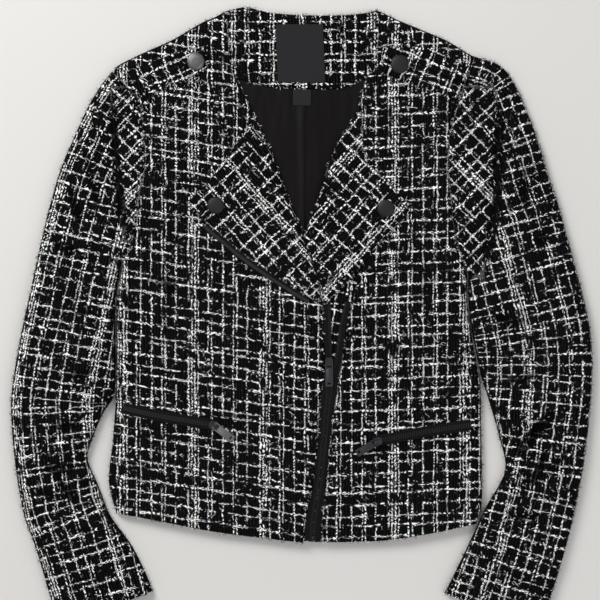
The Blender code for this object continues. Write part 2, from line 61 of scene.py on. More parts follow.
# Walls and heights, in millimetres
TWEED = 2.2
UNDER_TWEED = TWEED - 0.05
LINING = 1.0
TAPE = 1.2
LABEL = 0.8
LAYER_GAP = 0.4
BACK_TOP = 2.2
SEAM_TOP = 3.4
BODY_TOP = 11.0
ARMHOLE_TOP = 13.0
BODY_ROLL = 9.0
SLEEVE_ROLL = 16.0
ARMHOLE_EASE = 26.0
SLEEVE_EASE = 60.0
UNDERLAP_TOP = BODY_TOP - TWEED - LAYER_GAP
MAIN_TAPE_TOP = UNDERLAP_TOP + LAYER_GAP + TAPE
LAPEL_TAPE_TOP = BODY_TOP + LAYER_GAP + TAPE + 0.4
LAPEL_TEETH_TOP = BODY_TOP + 2.0
POCKET_TAPE_RISE = LAYER_GAP + TAPE + 0.2
LINING_TOP = BACK_TOP + LAYER_GAP + LINING
FACING_TOP = BACK_TOP + LAYER_GAP + TWEED

# Height of each sleeve's crown, from the cuff to the shoulder
SLEEVE_HEIGHTS = (
    # y, z
    (-330.0, 13.0),
    (-250.0, 15.0),
    (-160.0, 16.0),
    (-60.0, 17.0),
    (60.0, 17.0),
    (180.0, 15.0),
    (260.0, 13.0),
)

# Outlines: x and y of each point
RIGHT_SHOULDER = ((-198, 258), (-193, 266), (-167, 279), (-136, 293), (-106, 310.5), (-91, 317), (-81, 323))
LEFT_SHOULDER = ((78, 324.5), (84.5, 322), (101, 314), (124, 304.5), (153, 292), (173, 280), (182, 275))
BACK_NECK = ((-81, 323), (-60, 327), (-30, 321), (9, 318.5), (48, 319), (71, 321.6), (78, 324.5))
RIGHT_ARMHOLE = (
    (-198, 258), (-185, 245), (-173, 232), (-168.5, 224), (-166.4, 200), (-163.5, 173),
    (-165, 150), (-170.6, 128), (-173, 99), (-180, 73.5), (-189, 57),
)
LEFT_ARMHOLE = (
    (182, 275), (173, 250), (165.5, 229), (158, 203), (154, 181), (153.3, 153),
    (157, 124), (160, 92), (167, 67), (174.5, 45),
)
HEAD_POINTS = {"right": 4, "left": 3}
RIGHT_SIDE = (
    (-189, 57), (-194.7, 19), (-195, -22), (-195.3, -78), (-197, -105), (-199, -132),
    (-202.5, -160), (-202, -180), (-195, -205),
)
LEFT_SIDE = (
    (174.5, 45), (174.3, 23), (176.6, 0), (182, -35), (188.4, -70), (189, -109), (190, -142),
    (190, -195), (185, -216),
)
BACK_HEM = ((-195, -205), (-152, -213), (-82, -226), (12, -236), (84.5, -234), (138, -226), (185, -216))
RIGHT_HEM = ((-195, -205), (-152, -213), (-82, -226), (1.6, -236))
LEFT_HEM = ((22, -235), (84.5, -234), (138, -226), (185, -216))
RIGHT_FRONT_EDGE = (
    (-81, 323), (-78, 302), (-76.5, 281), (-74, 262), (-67, 249), (-53, 219.5), (-34.5, 177.5),
    (-20.5, 140.7), (-6.8, 107), (2, 84), (11.5, 57), (18, 35), (22, 18), (22, -8), (23, -37),
    (22.6, -66), (18.4, -86), (17.3, -118), (14.2, -149), (10, -181), (3.7, -212), (1.6, -236),
)
LEFT_FRONT_EDGE = (
    (78, 324.5), (81, 313), (79.5, 279), (78, 262), (67.7, 251), (58, 215), (38, 182), (27, 150),
    (42, 100), (58, 60), (56, 26), (48.8, -8), (44.6, -37), (39.5, -66), (36.3, -86), (32, -118),
    (29, -149), (26, -181), (22, -212), (22, -235),
)
RIGHT_SLEEVE_OUTER = (
    (-199.4, 259.0), (-207.5, 250), (-224, 224), (-241, 187), (-254.6, 154), (-269, 103), (-283, 40),
    (-296.6, -23), (-304, -68), (-306, -96), (-302, -150), (-293, -205), (-280, -242),
    (-264, -296), (-256, -325.5),
)
RIGHT_SLEEVE_INNER = (
    (-190.4, 56.5), (-195.9, 19), (-196.2, -22), (-196.9, -78), (-209, -100), (-222, -132), (-225, -150),
    (-214, -177), (-201, -209), (-180, -238), (-166, -265), (-157, -287),
)
LEFT_SLEEVE_OUTER = (
    (182.8, 275.2), (203, 269), (216, 259.4), (227, 241.5), (238, 216), (250, 184), (261, 147),
    (269, 124), (281, 82), (290, 48), (301, 4), (306, -35), (305, -84), (296.6, -158), (282, -228),
    (262, -296), (251.5, -327.4),
)
LEFT_SLEEVE_INNER = (
    (176, 44.4), (175.8, 23), (177.9, -2), (183.2, -33), (189.3, -62), (196.5, -84), (207, -120),
    (215, -156), (207, -178), (195, -198), (171, -249), (151, -290),
)
RIGHT_ROLL_LINE = (
    (-54, 203), (-35, 177.5), (-21, 140.7), (-7.5, 107), (1.6, 84), (11, 57), (17.4, 35), (20.5, 18),
)
RIGHT_LAPEL_TOP = ((-54, 203), (-62.5, 190), (-76, 173), (-96, 145), (-110, 131), (-118, 123))
RIGHT_LAPEL_LOW = (
    (-118, 123), (-114, 115), (-98.4, 100), (-87, 90), (-54, 63), (-17, 38), (10, 21.5), (20.5, 18),
)
LEFT_ROLL_LINE = (
    (62, 226), (58.5, 215), (38.5, 182), (26.5, 147), (14.5, 115), (5, 84), (12.5, 57), (19, 35), (24, 14),
)
LEFT_LAPEL_TOP = ((62, 226), (64, 190), (66, 167), (84, 149), (100, 131.5), (114, 118))
LEFT_LAPEL_LOW = ((114, 118), (110, 108), (98, 95.5), (83.5, 82), (65, 58), (54, 44), (42.5, 33), (24, 14))
FACING_SEAM = (
    (-84, 249), (-70, 252), (-45, 246), (-27, 243), (0, 241.5), (25, 241.5), (48, 243), (68, 252), (83, 249),
)

# Epaulettes: the corners of each, wide end first, then the rounded end by the neck
EPAULETTES = {
    "right": ((-183.5, 258), (-169, 233), (-137, 243), (-113, 255), (-98, 264), (-103, 284), (-140, 275)),
    "left": ((176, 262), (163, 231), (128, 241), (103, 250), (86, 256), (83, 283), (130, 283)),
}

# Folds pressed into the sleeves' outer face, each along its line of points
FOLDS = (
    # width, depth, points
    (7.0, 3.0, ((-200, 236), (-197, 205), (-194, 158), (-189, 119), (-186, 84))),
    (7.0, 3.4, ((203, 236), (208, 212), (206, 166), (205, 119), (198, 82), (190, 48))),
    (7.0, 5.0, ((-262, -158), (-243, -156), (-226, -150))),
    (9.0, 3.0, ((-252, -176), (-232, -182), (-214, -180))),
    (7.0, 5.0, ((262, -93), (254, -108), (232, -138), (217, -156))),
    (9.0, 3.0, ((255, -150), (235, -172), (212, -178))),
)

# Zips: stations along each tape, x of its two edges
MAIN_ZIP_STATIONS = (
    # y, right tape from, right tape to, left tape from, left tape to
    (17.0, 23.0, 30.5, 45.4, 52.8),
    (-8.0, 23.2, 31.0, 40.0, 47.4),
    (-37.0, 24.2, 31.8, 36.0, 43.2),
    (-62.0, 24.0, 30.8, 31.4, 39.2),
    (-86.0, 20.0, 27.6, 28.1, 35.3),
    (-118.0, 18.4, 24.4, 24.9, 31.0),
    (-149.0, 15.4, 21.2, 21.7, 28.0),
    (-181.0, 11.2, 17.6, 18.1, 25.0),
    (-212.0, 5.0, 12.4, 12.9, 21.0),
    (-234.0, 3.0, 11.4, 11.9, 20.8),
)
POCKET_ZIPS = {
    "right": ((-187, -94.5), (-145, -103.5), (-89, -112.6)),
    "left": ((76, -129.6), (132, -119), (178, -112)),
}
# Soft folds on the fronts: a trough where the depth is above 0, a ridge where it is below
BODY_FOLDS = (
    # width, depth, points
    (11.0, 0.9, ((-150, 205), (-140, 140), (-138, 60), (-146, -30))),
    (13.0, -0.8, ((-120, 60), (-112, -20), (-118, -90))),
    (9.0, 0.8, ((-172, 66), (-150, 40), (-120, 26), (-92, 20))),
    (8.0, 0.7, ((-192, -10), (-160, -24), (-128, -30))),
    (14.0, 0.8, ((-60, 10), (-56, -70), (-62, -150), (-58, -224))),
    (10.0, 0.7, ((-150, -120), (-120, -160), (-112, -214))),
    (11.0, 0.9, ((140, 200), (132, 130), (130, 50), (138, -40))),
    (9.0, 0.8, ((158, 60), (136, 34), (110, 24), (84, 20))),
    (12.0, -0.8, ((104, 40), (98, -30), (104, -100))),
    (9.0, 0.7, ((180, -20), (156, -40), (126, -48))),
    (13.0, 0.7, ((70, -150), (76, -190), (72, -230))),
    (10.0, 0.7, ((150, -130), (128, -170), (120, -222))),
)
# Smaller creases on the sleeves, besides the main folds
SLEEVE_CREASES = (
    # width, depth, points
    (7.0, 4.5, ((-250, -160), (-228, -172), (-208, -192))),
    (6.0, 3.5, ((-262, -160), (-246, -180), (-232, -204))),
    (5.0, 3.0, ((-236, -128), (-240, -144), (-250, -156))),
    (7.0, 4.5, ((258, -104), (236, -130), (216, -150))),
    (6.0, 3.0, ((262, -106), (254, -140), (246, -170))),
    (6.0, 3.0, ((-276, 96), (-258, 78), (-226, 66))),
    (6.0, 3.0, ((-250, 150), (-238, 120), (-230, 86))),
    (6.0, 2.6, ((272, 100), (254, 84), (232, 78))),
    (6.0, 1.6, ((-232, 196), (-222, 150), (-212, 108))),
    (8.0, -1.4, ((-226, 120), (-232, 60), (-236, 0))),
    (6.0, 1.8, ((-205, 20), (-228, 6), (-252, 2))),
    (6.0, 1.6, ((-202, -40), (-226, -58), (-256, -62))),
    (6.0, 2.2, ((-212, -98), (-236, -112), (-268, -116))),
    (5.0, -1.6, ((-230, -140), (-254, -136), (-280, -140))),
    (5.0, 1.8, ((-290, -172), (-268, -184), (-246, -190))),
    (6.0, 1.5, ((-204, -216), (-226, -222), (-254, -218))),
    (7.0, -1.3, ((-190, -246), (-216, -262), (-246, -264))),
    (6.0, 1.6, ((240, 190), (234, 150), (226, 104))),
    (8.0, -1.4, ((236, 110), (246, 50), (252, -10))),
    (6.0, 1.8, ((186, 10), (212, -2), (240, -4))),
    (6.0, 1.8, ((198, -62), (226, -64), (256, -58))),
    (5.0, -1.8, ((212, -120), (238, -112), (268, -90))),
    (6.0, 2.0, ((292, -120), (270, -150), (248, -176))),
    (6.0, 1.6, ((200, -200), (228, -208), (262, -206))),
    (7.0, -1.3, ((182, -240), (212, -252), (250, -252))),
)


class Side(Enum):
    """The wearer's two sides."""

    RIGHT = "right"
    LEFT = "left"


class Slot(Enum):
    """Kinds of material that the new pieces are made of."""

    TWEED = "tweed"
    LINING = "lining"
    LABEL = "label"
    TAPE = "zip_tape"
    METAL = "gunmetal"


# ---------------------------------------------------------------- lines and grids

def curve(points: Points, steps: int = CURVE_STEPS) -> Line:
    """A smooth curve through points (Catmull-Rom), as a fine polyline.

    Args:
        points: x and y of each point, in millimetres.
        steps: pieces between two points.

    Returns:
        The polyline's points.
    """
    pts = np.array(points, dtype=float)
    if len(pts) == 2:
        return pts
    ends = np.vstack([2 * pts[0] - pts[1], pts, 2 * pts[-1] - pts[-2]])
    out = []
    for a, b, c, d in zip(ends[:-3], ends[1:-2], ends[2:-1], ends[3:]):
        for t in np.linspace(0.0, 1.0, steps, endpoint=False):
            out.append(0.5 * (2 * b + (c - a) * t + (2 * a - 5 * b + 4 * c - d) * t ** 2
                              + (3 * b - a - 3 * c + d) * t ** 3))
    out.append(pts[-1])
    return np.array(out)


def joined(*lines: Line) -> Line:
    """Polylines end to end, as one, with a corner where they meet."""
    return np.vstack([lines[0]] + [line[1:] for line in lines[1:]])


def running_length(line: Line) -> np.ndarray:
    """Length along a polyline at each of its points."""
    return np.concatenate([[0.0], np.cumsum(np.linalg.norm(np.diff(line, axis=0), axis=1))])


def along(line: Line, shares: np.ndarray) -> Line:
    """Points at the given shares of a polyline's length.

    Args:
        line: the polyline.
        shares: shares of its length, from 0 to 1.

    Returns:
        The points there.
    """
    run = running_length(line)
    where = np.asarray(shares) * run[-1]
    return np.column_stack([np.interp(where, run, line[:, k]) for k in range(2)])


def offset(line: Line, distance: float) -> Line:
    """A polyline moved to the right of its direction.

    Args:
        line: the polyline.
        distance: how far, in millimetres, negative to the left.

    Returns:
        The moved polyline.
    """
    way = np.gradient(line, axis=0)
    way /= np.linalg.norm(way, axis=1)[:, None]
    return line + distance * np.column_stack([way[:, 1], -way[:, 0]])


def nearest(line: Line, pts: np.ndarray) -> tuple[np.ndarray, np.ndarray]:
    """Distance from points to a polyline, and how far along it the nearest place is.

    Args:
        line: the polyline.
        pts: the points, one a row.

    Returns:
        The distances and the lengths along the line.
    """
    start, step = line[:-1], np.diff(line, axis=0)
    size = np.maximum(np.sum(step * step, axis=1), 1e-9)
    here = pts[:, None, :] - start[None]
    share = np.clip(np.sum(here * step[None], axis=2) / size[None], 0.0, 1.0)
    gap = np.linalg.norm(here - share[:, :, None] * step[None], axis=2)
    best = np.argmin(gap, axis=1)
    rows = np.arange(len(pts))
    run = running_length(line)[:-1]
    return gap[rows, best], run[best] + share[rows, best] * np.sqrt(size[best])


def shares(count: int, length: float, edge_start: bool = True, edge_end: bool = True) -> np.ndarray:
    """Shares across a sheet, closer together beside its edges.

    Args:
        count: even steps in the middle.
        length: the sheet's size there, in millimetres.
        edge_start: whether the first edge gets close steps.
        edge_end: whether the last edge gets them.

    Returns:
        Shares from 0 to 1.
    """
    close = np.array((0.0, 0.35, 1.0, 2.0, 3.4, 5.4, 8.2, 11.5, 15.5)) / length
    low = close if edge_start else close[:1]
    high = 1.0 - close[::-1] if edge_end else np.array((1.0,))
    middle = np.linspace(low[-1], high[0], count + 1)[1:-1]
    return np.concatenate([low, middle, high])


def part_shares(parts: list[tuple[Line, np.ndarray]]) -> np.ndarray:
    """Shares down a joined polyline, from each part's own shares.

    Args:
        parts: each part's polyline with its own shares.

    Returns:
        Shares down the whole line.
    """
    lengths = [running_length(line)[-1] for line, _ in parts]
    total, start, out = sum(lengths), 0.0, [0.0]
    for (_, own), size in zip(parts, lengths):
        out += [(start + share * size) / total for share in own[1:]]
        start += size
    return np.array(out)


def patch(top: Line, bottom: Line, left: Line, right: Line, across: np.ndarray, down: np.ndarray,
          down_right: np.ndarray | None = None) -> np.ndarray:
    """Grid of points between four edges that share their corners (a Coons patch).

    Args:
        top, bottom, left, right: the edges.
        across: shares along the top and bottom.
        down: shares along the left edge.
        down_right: shares along the right edge, if they differ.

    Returns:
        An array of rows, columns and x, y.
    """
    down_right = down if down_right is None else down_right
    t, b = along(top, across), along(bottom, across)
    l, r = along(left, down), along(right, down_right)
    u = np.asarray(across)[None, :, None]
    v = 0.5 * (np.asarray(down) + np.asarray(down_right))[:, None, None]
    ruled = (1 - v) * t[None] + v * b[None] + (1 - u) * l[:, None] + u * r[:, None]
    corners = (1 - v) * ((1 - u) * t[0] + u * t[-1]) + v * ((1 - u) * b[0] + u * b[-1])
    return ruled - corners


# ---------------------------------------------------------------- form of the cloth

SHOULDERS = {Side.RIGHT: curve(RIGHT_SHOULDER), Side.LEFT: curve(LEFT_SHOULDER)}
SIDES = {Side.RIGHT: curve(RIGHT_SIDE), Side.LEFT: curve(LEFT_SIDE)}
ARMHOLES = {Side.RIGHT: curve(RIGHT_ARMHOLE), Side.LEFT: curve(LEFT_ARMHOLE)}
OUTERS = {Side.RIGHT: curve(RIGHT_SLEEVE_OUTER), Side.LEFT: curve(LEFT_SLEEVE_OUTER)}
INNERS = {Side.RIGHT: curve(RIGHT_SLEEVE_INNER), Side.LEFT: curve(LEFT_SLEEVE_INNER)}
# Where the sleeve's head ends and its scye begins, as an index along each fine armhole
HEAD_ENDS = {side: CURVE_STEPS * (HEAD_POINTS[side.value] - 1) for side in Side}
HEADS = {side: line[:HEAD_ENDS[side] + 1] for side, line in ARMHOLES.items()}
SCYES = {side: line[HEAD_ENDS[side]:] for side, line in ARMHOLES.items()}

# Where hardware sits flat on the cloth: x, y and how far the cloth stays calm round it
CALM_SPOTS = (
    (-111.0, 269.0, 15.0),
    (103.0, 266.0, 15.0),
    (-90.0, 118.0, 15.0),
    (88.5, 115.0, 15.0),
    (-85.0, -117.0, 22.0),
    (74.0, -133.0, 22.0),
    (29.0, -50.0, 22.0),
)


def calm(pts: np.ndarray) -> np.ndarray:
    """Share of the cloth's unevenness at each point, 0 under hardware and 1 away from it.

    Args:
        pts: places on the cloth, x and y in millimetres, one a row.

    Returns:
        The share there.
    """
    share = np.ones(len(pts))
    for x, y, reach in CALM_SPOTS:
        gap = np.hypot(pts[:, 0] - x, pts[:, 1] - y)
        share = np.minimum(share, 1.0 - np.exp(-(gap / reach) ** 4))
    return share


@dataclass(frozen=True)
class Relief:
    """Heights of the outer faces, in millimetres, with rolled edges and folds."""

    fold_fade: float = 16.0
    swell: float = 0.35
    seam_depth: float = 1.7
    seam_width: float = 3.2

    def folds(self, rows: tuple, pts: np.ndarray) -> np.ndarray:
        """Depth that a table of folds presses into the cloth, fading at each fold's ends.

        Args:
            rows: the table: width, depth and points of each fold.
            pts: places on the cloth, x and y in millimetres, one a row.

        Returns:
            The depth there.
        """
        depth = np.zeros(len(pts))
        for width, deepest, points in rows:
            line = curve(points)
            gap, _ = nearest(line, pts)
            ends = np.minimum(np.linalg.norm(pts - line[0], axis=1), np.linalg.norm(pts - line[-1], axis=1))
            fade = 1.0 - 0.75 * np.exp(-(ends / self.fold_fade) ** 2)
            depth += deepest * np.exp(-(gap / width) ** 2) * fade
        return depth

    def waves(self, pts: np.ndarray) -> np.ndarray:
        """Slight unevenness of cloth that was smoothed out by hand.

        Args:
            pts: places on the cloth, x and y in millimetres, one a row.

        Returns:
            The height to add there.
        """
        x, y = pts[:, 0], pts[:, 1]
        wave = np.sin(x / 19.0 + 1.3 * np.sin(y / 47.0)) * np.cos(y / 31.0 + 0.8)
        return self.swell * (wave + 0.7 * np.sin((x + 1.7 * y) / 41.0) + 0.5 * np.sin((1.4 * x - y) / 27.0))

    @staticmethod
    def roll(gap: np.ndarray, width: float) -> np.ndarray:
        """Rise of a rolled edge from 0 to 1, as a quarter of an ellipse."""
        t = np.clip(gap / width, 0.0, 1.0)
        return np.sqrt(np.maximum(0.0, 1.0 - (1.0 - t) ** 2))

    def seam_dip(self, gap: np.ndarray) -> np.ndarray:
        """Depth that the armhole seam pulls the cloth down, at a distance from it."""
        return self.seam_depth * np.exp(-(gap / self.seam_width) ** 2)

    def body(self, pts: np.ndarray) -> np.ndarray:
        """Height of the fronts' outer face.

        Args:
            pts: places on the cloth, x and y in millimetres, one a row.

        Returns:
            The height there.
        """
        edges = list(SHOULDERS.values()) + list(SIDES.values())
        edge = np.min([nearest(line, pts)[0] for line in edges], axis=0)
        arm = np.min([nearest(line, pts)[0] for line in ARMHOLES.values()], axis=0)
        crown = BODY_TOP + (ARMHOLE_TOP - BODY_TOP) * np.exp(-(arm / ARMHOLE_EASE) ** 2)
        uneven = (self.waves(pts) - self.folds(BODY_FOLDS, pts)) * calm(pts)
        return SEAM_TOP + (crown - SEAM_TOP + uneven - self.seam_dip(arm)) * self.roll(edge, BODY_ROLL)

    def above_body(self, extra: float) -> Height:
        """A height function higher than the fronts by a fixed amount."""
        return lambda pts: self.body(pts) + extra

    def sleeve(self, side: Side) -> Height:
        """The height function of a top sleeve's outer face.

        Args:
            side: whose sleeve it is.

        Returns:
            The height function.
        """
        ys, zs = zip(*SLEEVE_HEIGHTS)

        def height(pts: np.ndarray) -> np.ndarray:
            """The sleeve's face over points of it.

            Args:
                pts: places on the cloth, x and y in millimetres, one a row.

            Returns:
                The heights there.
            """
            arm = nearest(ARMHOLES[side], pts)[0]
            crown = np.interp(pts[:, 1], ys, zs)
            crown = crown + (ARMHOLE_TOP - crown) * np.exp(-(arm / SLEEVE_EASE) ** 2)
            edge = np.min([nearest(line, pts)[0] for line in (OUTERS[side], INNERS[side])], axis=0)
            uneven = self.waves(pts) - self.folds(FOLDS, pts) - self.folds(SLEEVE_CREASES, pts)
            return SEAM_TOP + (crown - SEAM_TOP + uneven - self.seam_dip(arm)) * self.roll(edge, SLEEVE_ROLL)

        return height


RELIEF = Relief()


def level(height: float) -> Height:
    """The height function of a flat outer face."""
    return lambda pts: np.full(len(pts), height)


@dataclass(frozen=True)
class Grain:
    """How the cloth's grain lies on a flat piece: a turn, and the weft's slope."""

    angle: float = 0.0
    weft_slope: float = 0.0
    shift: tuple[float, float] = (0.0, 0.0)

    def lay(self, pts: np.ndarray) -> np.ndarray:
        """Places on the cloth, across and along its warp, for points of the piece.

        Args:
            pts: places on the piece, x and y in millimetres.

        Returns:
            Places on the cloth.
        """
        turn = math.radians(self.angle)
        x = pts[:, 0] * math.cos(turn) + pts[:, 1] * math.sin(turn)
        y = -pts[:, 0] * math.sin(turn) + pts[:, 1] * math.cos(turn)
        return np.column_stack([x + self.shift[0], y - self.weft_slope * x + self.shift[1]])


@dataclass(frozen=True)
class ArmGrain:
    """Grain that runs down a sleeve beside its outer edge, and turned where the head folds over."""

    side: Side
    crease: Points
    turned: float
    shift: tuple[float, float] = (0.0, 0.0)

    def lay(self, pts: np.ndarray) -> np.ndarray:
        """Places on the cloth: distance from the outer edge and length down it, or the turned head's.

        Args:
            pts: places on the piece, x and y in millimetres.

        Returns:
            Places on the cloth.
        """
        gap, down = nearest(OUTERS[self.side], pts)
        sign = 1.0 if self.side is Side.RIGHT else -1.0
        arm = np.column_stack([sign * gap + self.shift[0], -down + self.shift[1]])
        line = curve(self.crease)
        x = np.interp(-pts[:, 1], -line[:, 1], line[:, 0])
        inside = (pts[:, 0] - x) * sign > 0.0
        inside &= (pts[:, 1] < line[0, 1] + 6.0) & (pts[:, 1] > line[-1, 1] - 4.0)
        return np.where(inside[:, None], Grain(self.turned).lay(pts), arm)


@dataclass
class Sheet:
    """One cloth sheet: its outer face over a grid, with its wall below."""

    name: str
    grid: np.ndarray
    height: Height
    wall: float
    grain: Grain | ArmGrain
    turned_edge: float = 0.9
    turned_width: float = 1.8
    band: bool = False
    face: np.ndarray = field(init=False)
    area: float = field(init=False)
    size: np.ndarray = field(init=False)

    def build(self) -> bpy.types.Object:
        """Make the mesh, its UV map in metres and its wall, and measure its cut.

        Returns:
            The finished object.
        """
        rows, columns = self.grid.shape[:2]
        flat = self.grid.reshape(-1, 2)
        z = self.height(flat)
        if self.turned_edge > 0.0:
            z = z - self.turned_edge * self._edge_drop()
        points = np.column_stack([flat, z]) * MM
        self.face = points.reshape(rows, columns, 3)
        index = np.arange(rows * columns).reshape(rows, columns)
        corners = (index[:-1, :-1], index[1:, :-1], index[1:, 1:], index[:-1, 1:])
        faces = np.stack([corner.ravel() for corner in corners], axis=1)
        mesh = bpy.data.meshes.new(self.name)
        mesh.from_pydata(points.tolist(), [], faces.tolist())
        uv = self._cloth_places(points)
        layer = mesh.uv_layers.new(name="UVMap")
        layer.data.foreach_set("uv", uv[faces.ravel()].ravel())
        # Depth below the cloth around, which the tweed's finish turns into painted shade in folds and creases
        hollow = mesh.attributes.new("hollow", "FLOAT", "POINT")
        hollow.data.foreach_set("value", self._hollows(z.reshape(rows, columns)).ravel())
        mesh.shade_smooth()
        piece = bpy.data.objects.new(self.name, mesh)
        bpy.context.scene.collection.objects.link(piece)
        self._thicken(piece)
        self.area = self._surface(points[faces])
        self.size = np.ptp(self.grid.reshape(-1, 2), axis=0) * MM + 2.0 * self.wall * MM
        if self.band:
            middles = (self.grid[rows // 2], self.grid[:, columns // 2])
            length = max(running_length(line)[-1] for line in middles)
            self.size = np.array((max(self.area / (length * MM), NARROWEST), length * MM))
        return piece

    @staticmethod
    def _hollows(z: np.ndarray, reach: int = 3, passes: int = 3) -> np.ndarray:
        """How far each point lies below the cloth around it, in millimetres.

        Args:
            z: heights over the grid.
            reach: grid steps to each side.
            passes: how often the mean is taken.

        Returns:
            The depth below the cloth around, at each point.
        """
        mean = z
        for _ in range(passes):
            for axis in (0, 1):
                edge = [(0, 0), (0, 0)]
                edge[axis] = (reach, reach)
                wide = np.pad(mean, edge, mode="edge")
                parts = [np.roll(wide, k, axis=axis) for k in range(-reach, reach + 1)]
                keep = [slice(None), slice(None)]
                keep[axis] = slice(reach, -reach)
                mean = np.mean(parts, axis=0)[tuple(keep)]
        return np.clip(mean - z, -2.0, 2.0)

    def _edge_drop(self) -> np.ndarray:
        """How far each point is down the turned edge, from 0 inside to 1 at the rim.

        Returns:
            The share at each point.
        """
        ring = joined(self.grid[0], self.grid[:, -1], self.grid[-1][::-1], self.grid[::-1, 0])
        gap, _ = nearest(ring[::2], self.grid.reshape(-1, 2))
        t = np.clip(gap / self.turned_width, 0.0, 1.0)
        return 1.0 - np.sqrt(1.0 - (1.0 - t) ** 2)

    def _cloth_places(self, points: np.ndarray) -> np.ndarray:
        """UV in metres: the grain's place, corrected for the length over rolls.

        Args:
            points: the outer face's points, in metres.

        Returns:
            The UV of each point.
        """
        rows, columns = self.grid.shape[:2]
        uv = self.grain.lay(self.grid.reshape(-1, 2)) * MM
        grid = points.reshape(rows, columns, 3)
        step = np.diff(grid, axis=1)
        extra = np.linalg.norm(step, axis=2) - np.linalg.norm(step[:, :, :2], axis=2)
        run = np.concatenate([np.zeros((rows, 1)), np.cumsum(extra, axis=1)], axis=1)
        run -= run[:, columns // 2][:, None]
        return uv + np.column_stack([run.ravel(), np.zeros(rows * columns)])

    @staticmethod
    def _surface(corners: np.ndarray) -> float:
        """Area of the outer face, in square metres, which is the cut's area."""
        crossed = np.cross(corners[:, 2] - corners[:, 0], corners[:, 3] - corners[:, 1])
        return float(np.sum(np.linalg.norm(crossed, axis=1)) / 2)

    def _thicken(self, piece: bpy.types.Object) -> None:
        """Give the sheet its wall, inwards, keep it above the floor and its rim crisp.

        Args:
            piece: the sheet's object, which is still a single face.
        """
        bpy.ops.object.select_all(action="DESELECT")
        piece.select_set(True)
        bpy.context.view_layer.objects.active = piece
        wall = piece.modifiers.new("Wall", "SOLIDIFY")
        wall.thickness = self.wall * MM
        wall.offset = -1.0
        bpy.ops.object.modifier_apply(modifier=wall.name)
        places = np.empty(3 * len(piece.data.vertices))
        piece.data.vertices.foreach_get("co", places)
        places[2::3] = np.maximum(places[2::3], 0.0)
        piece.data.vertices.foreach_set("co", places)
        piece.data.update()
        piece.data.set_sharp_from_angle(angle=math.radians(50.0))


# Sheets that get loose fibres: all the tweed that shows from above
HAIRY: list[Sheet] = []


def declare(sheet: Sheet, piece: bpy.types.Object, slot: Slot, nodes: tuple[str, ...],
            finish: bpy.types.Material) -> None:
    """Dress a sheet, attach it to the jacket's body and hide the CAD nodes that it replaces.

    Args:
        sheet: the sheet's description, after it was built.
        piece: its object.
        slot: its kind of material; only tweed is told from the rest, to gather the sheets that get loose
            fibres.
        nodes: the CAD nodes that it replaces.
        finish: its material.
    """
    piece.data.materials.append(finish)
    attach(piece, BODY)
    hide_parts(*nodes)
    if slot is Slot.TWEED and "back" not in sheet.name and "under" not in sheet.name:
        HAIRY.append(sheet)


# ---------------------------------------------------------------- finishes

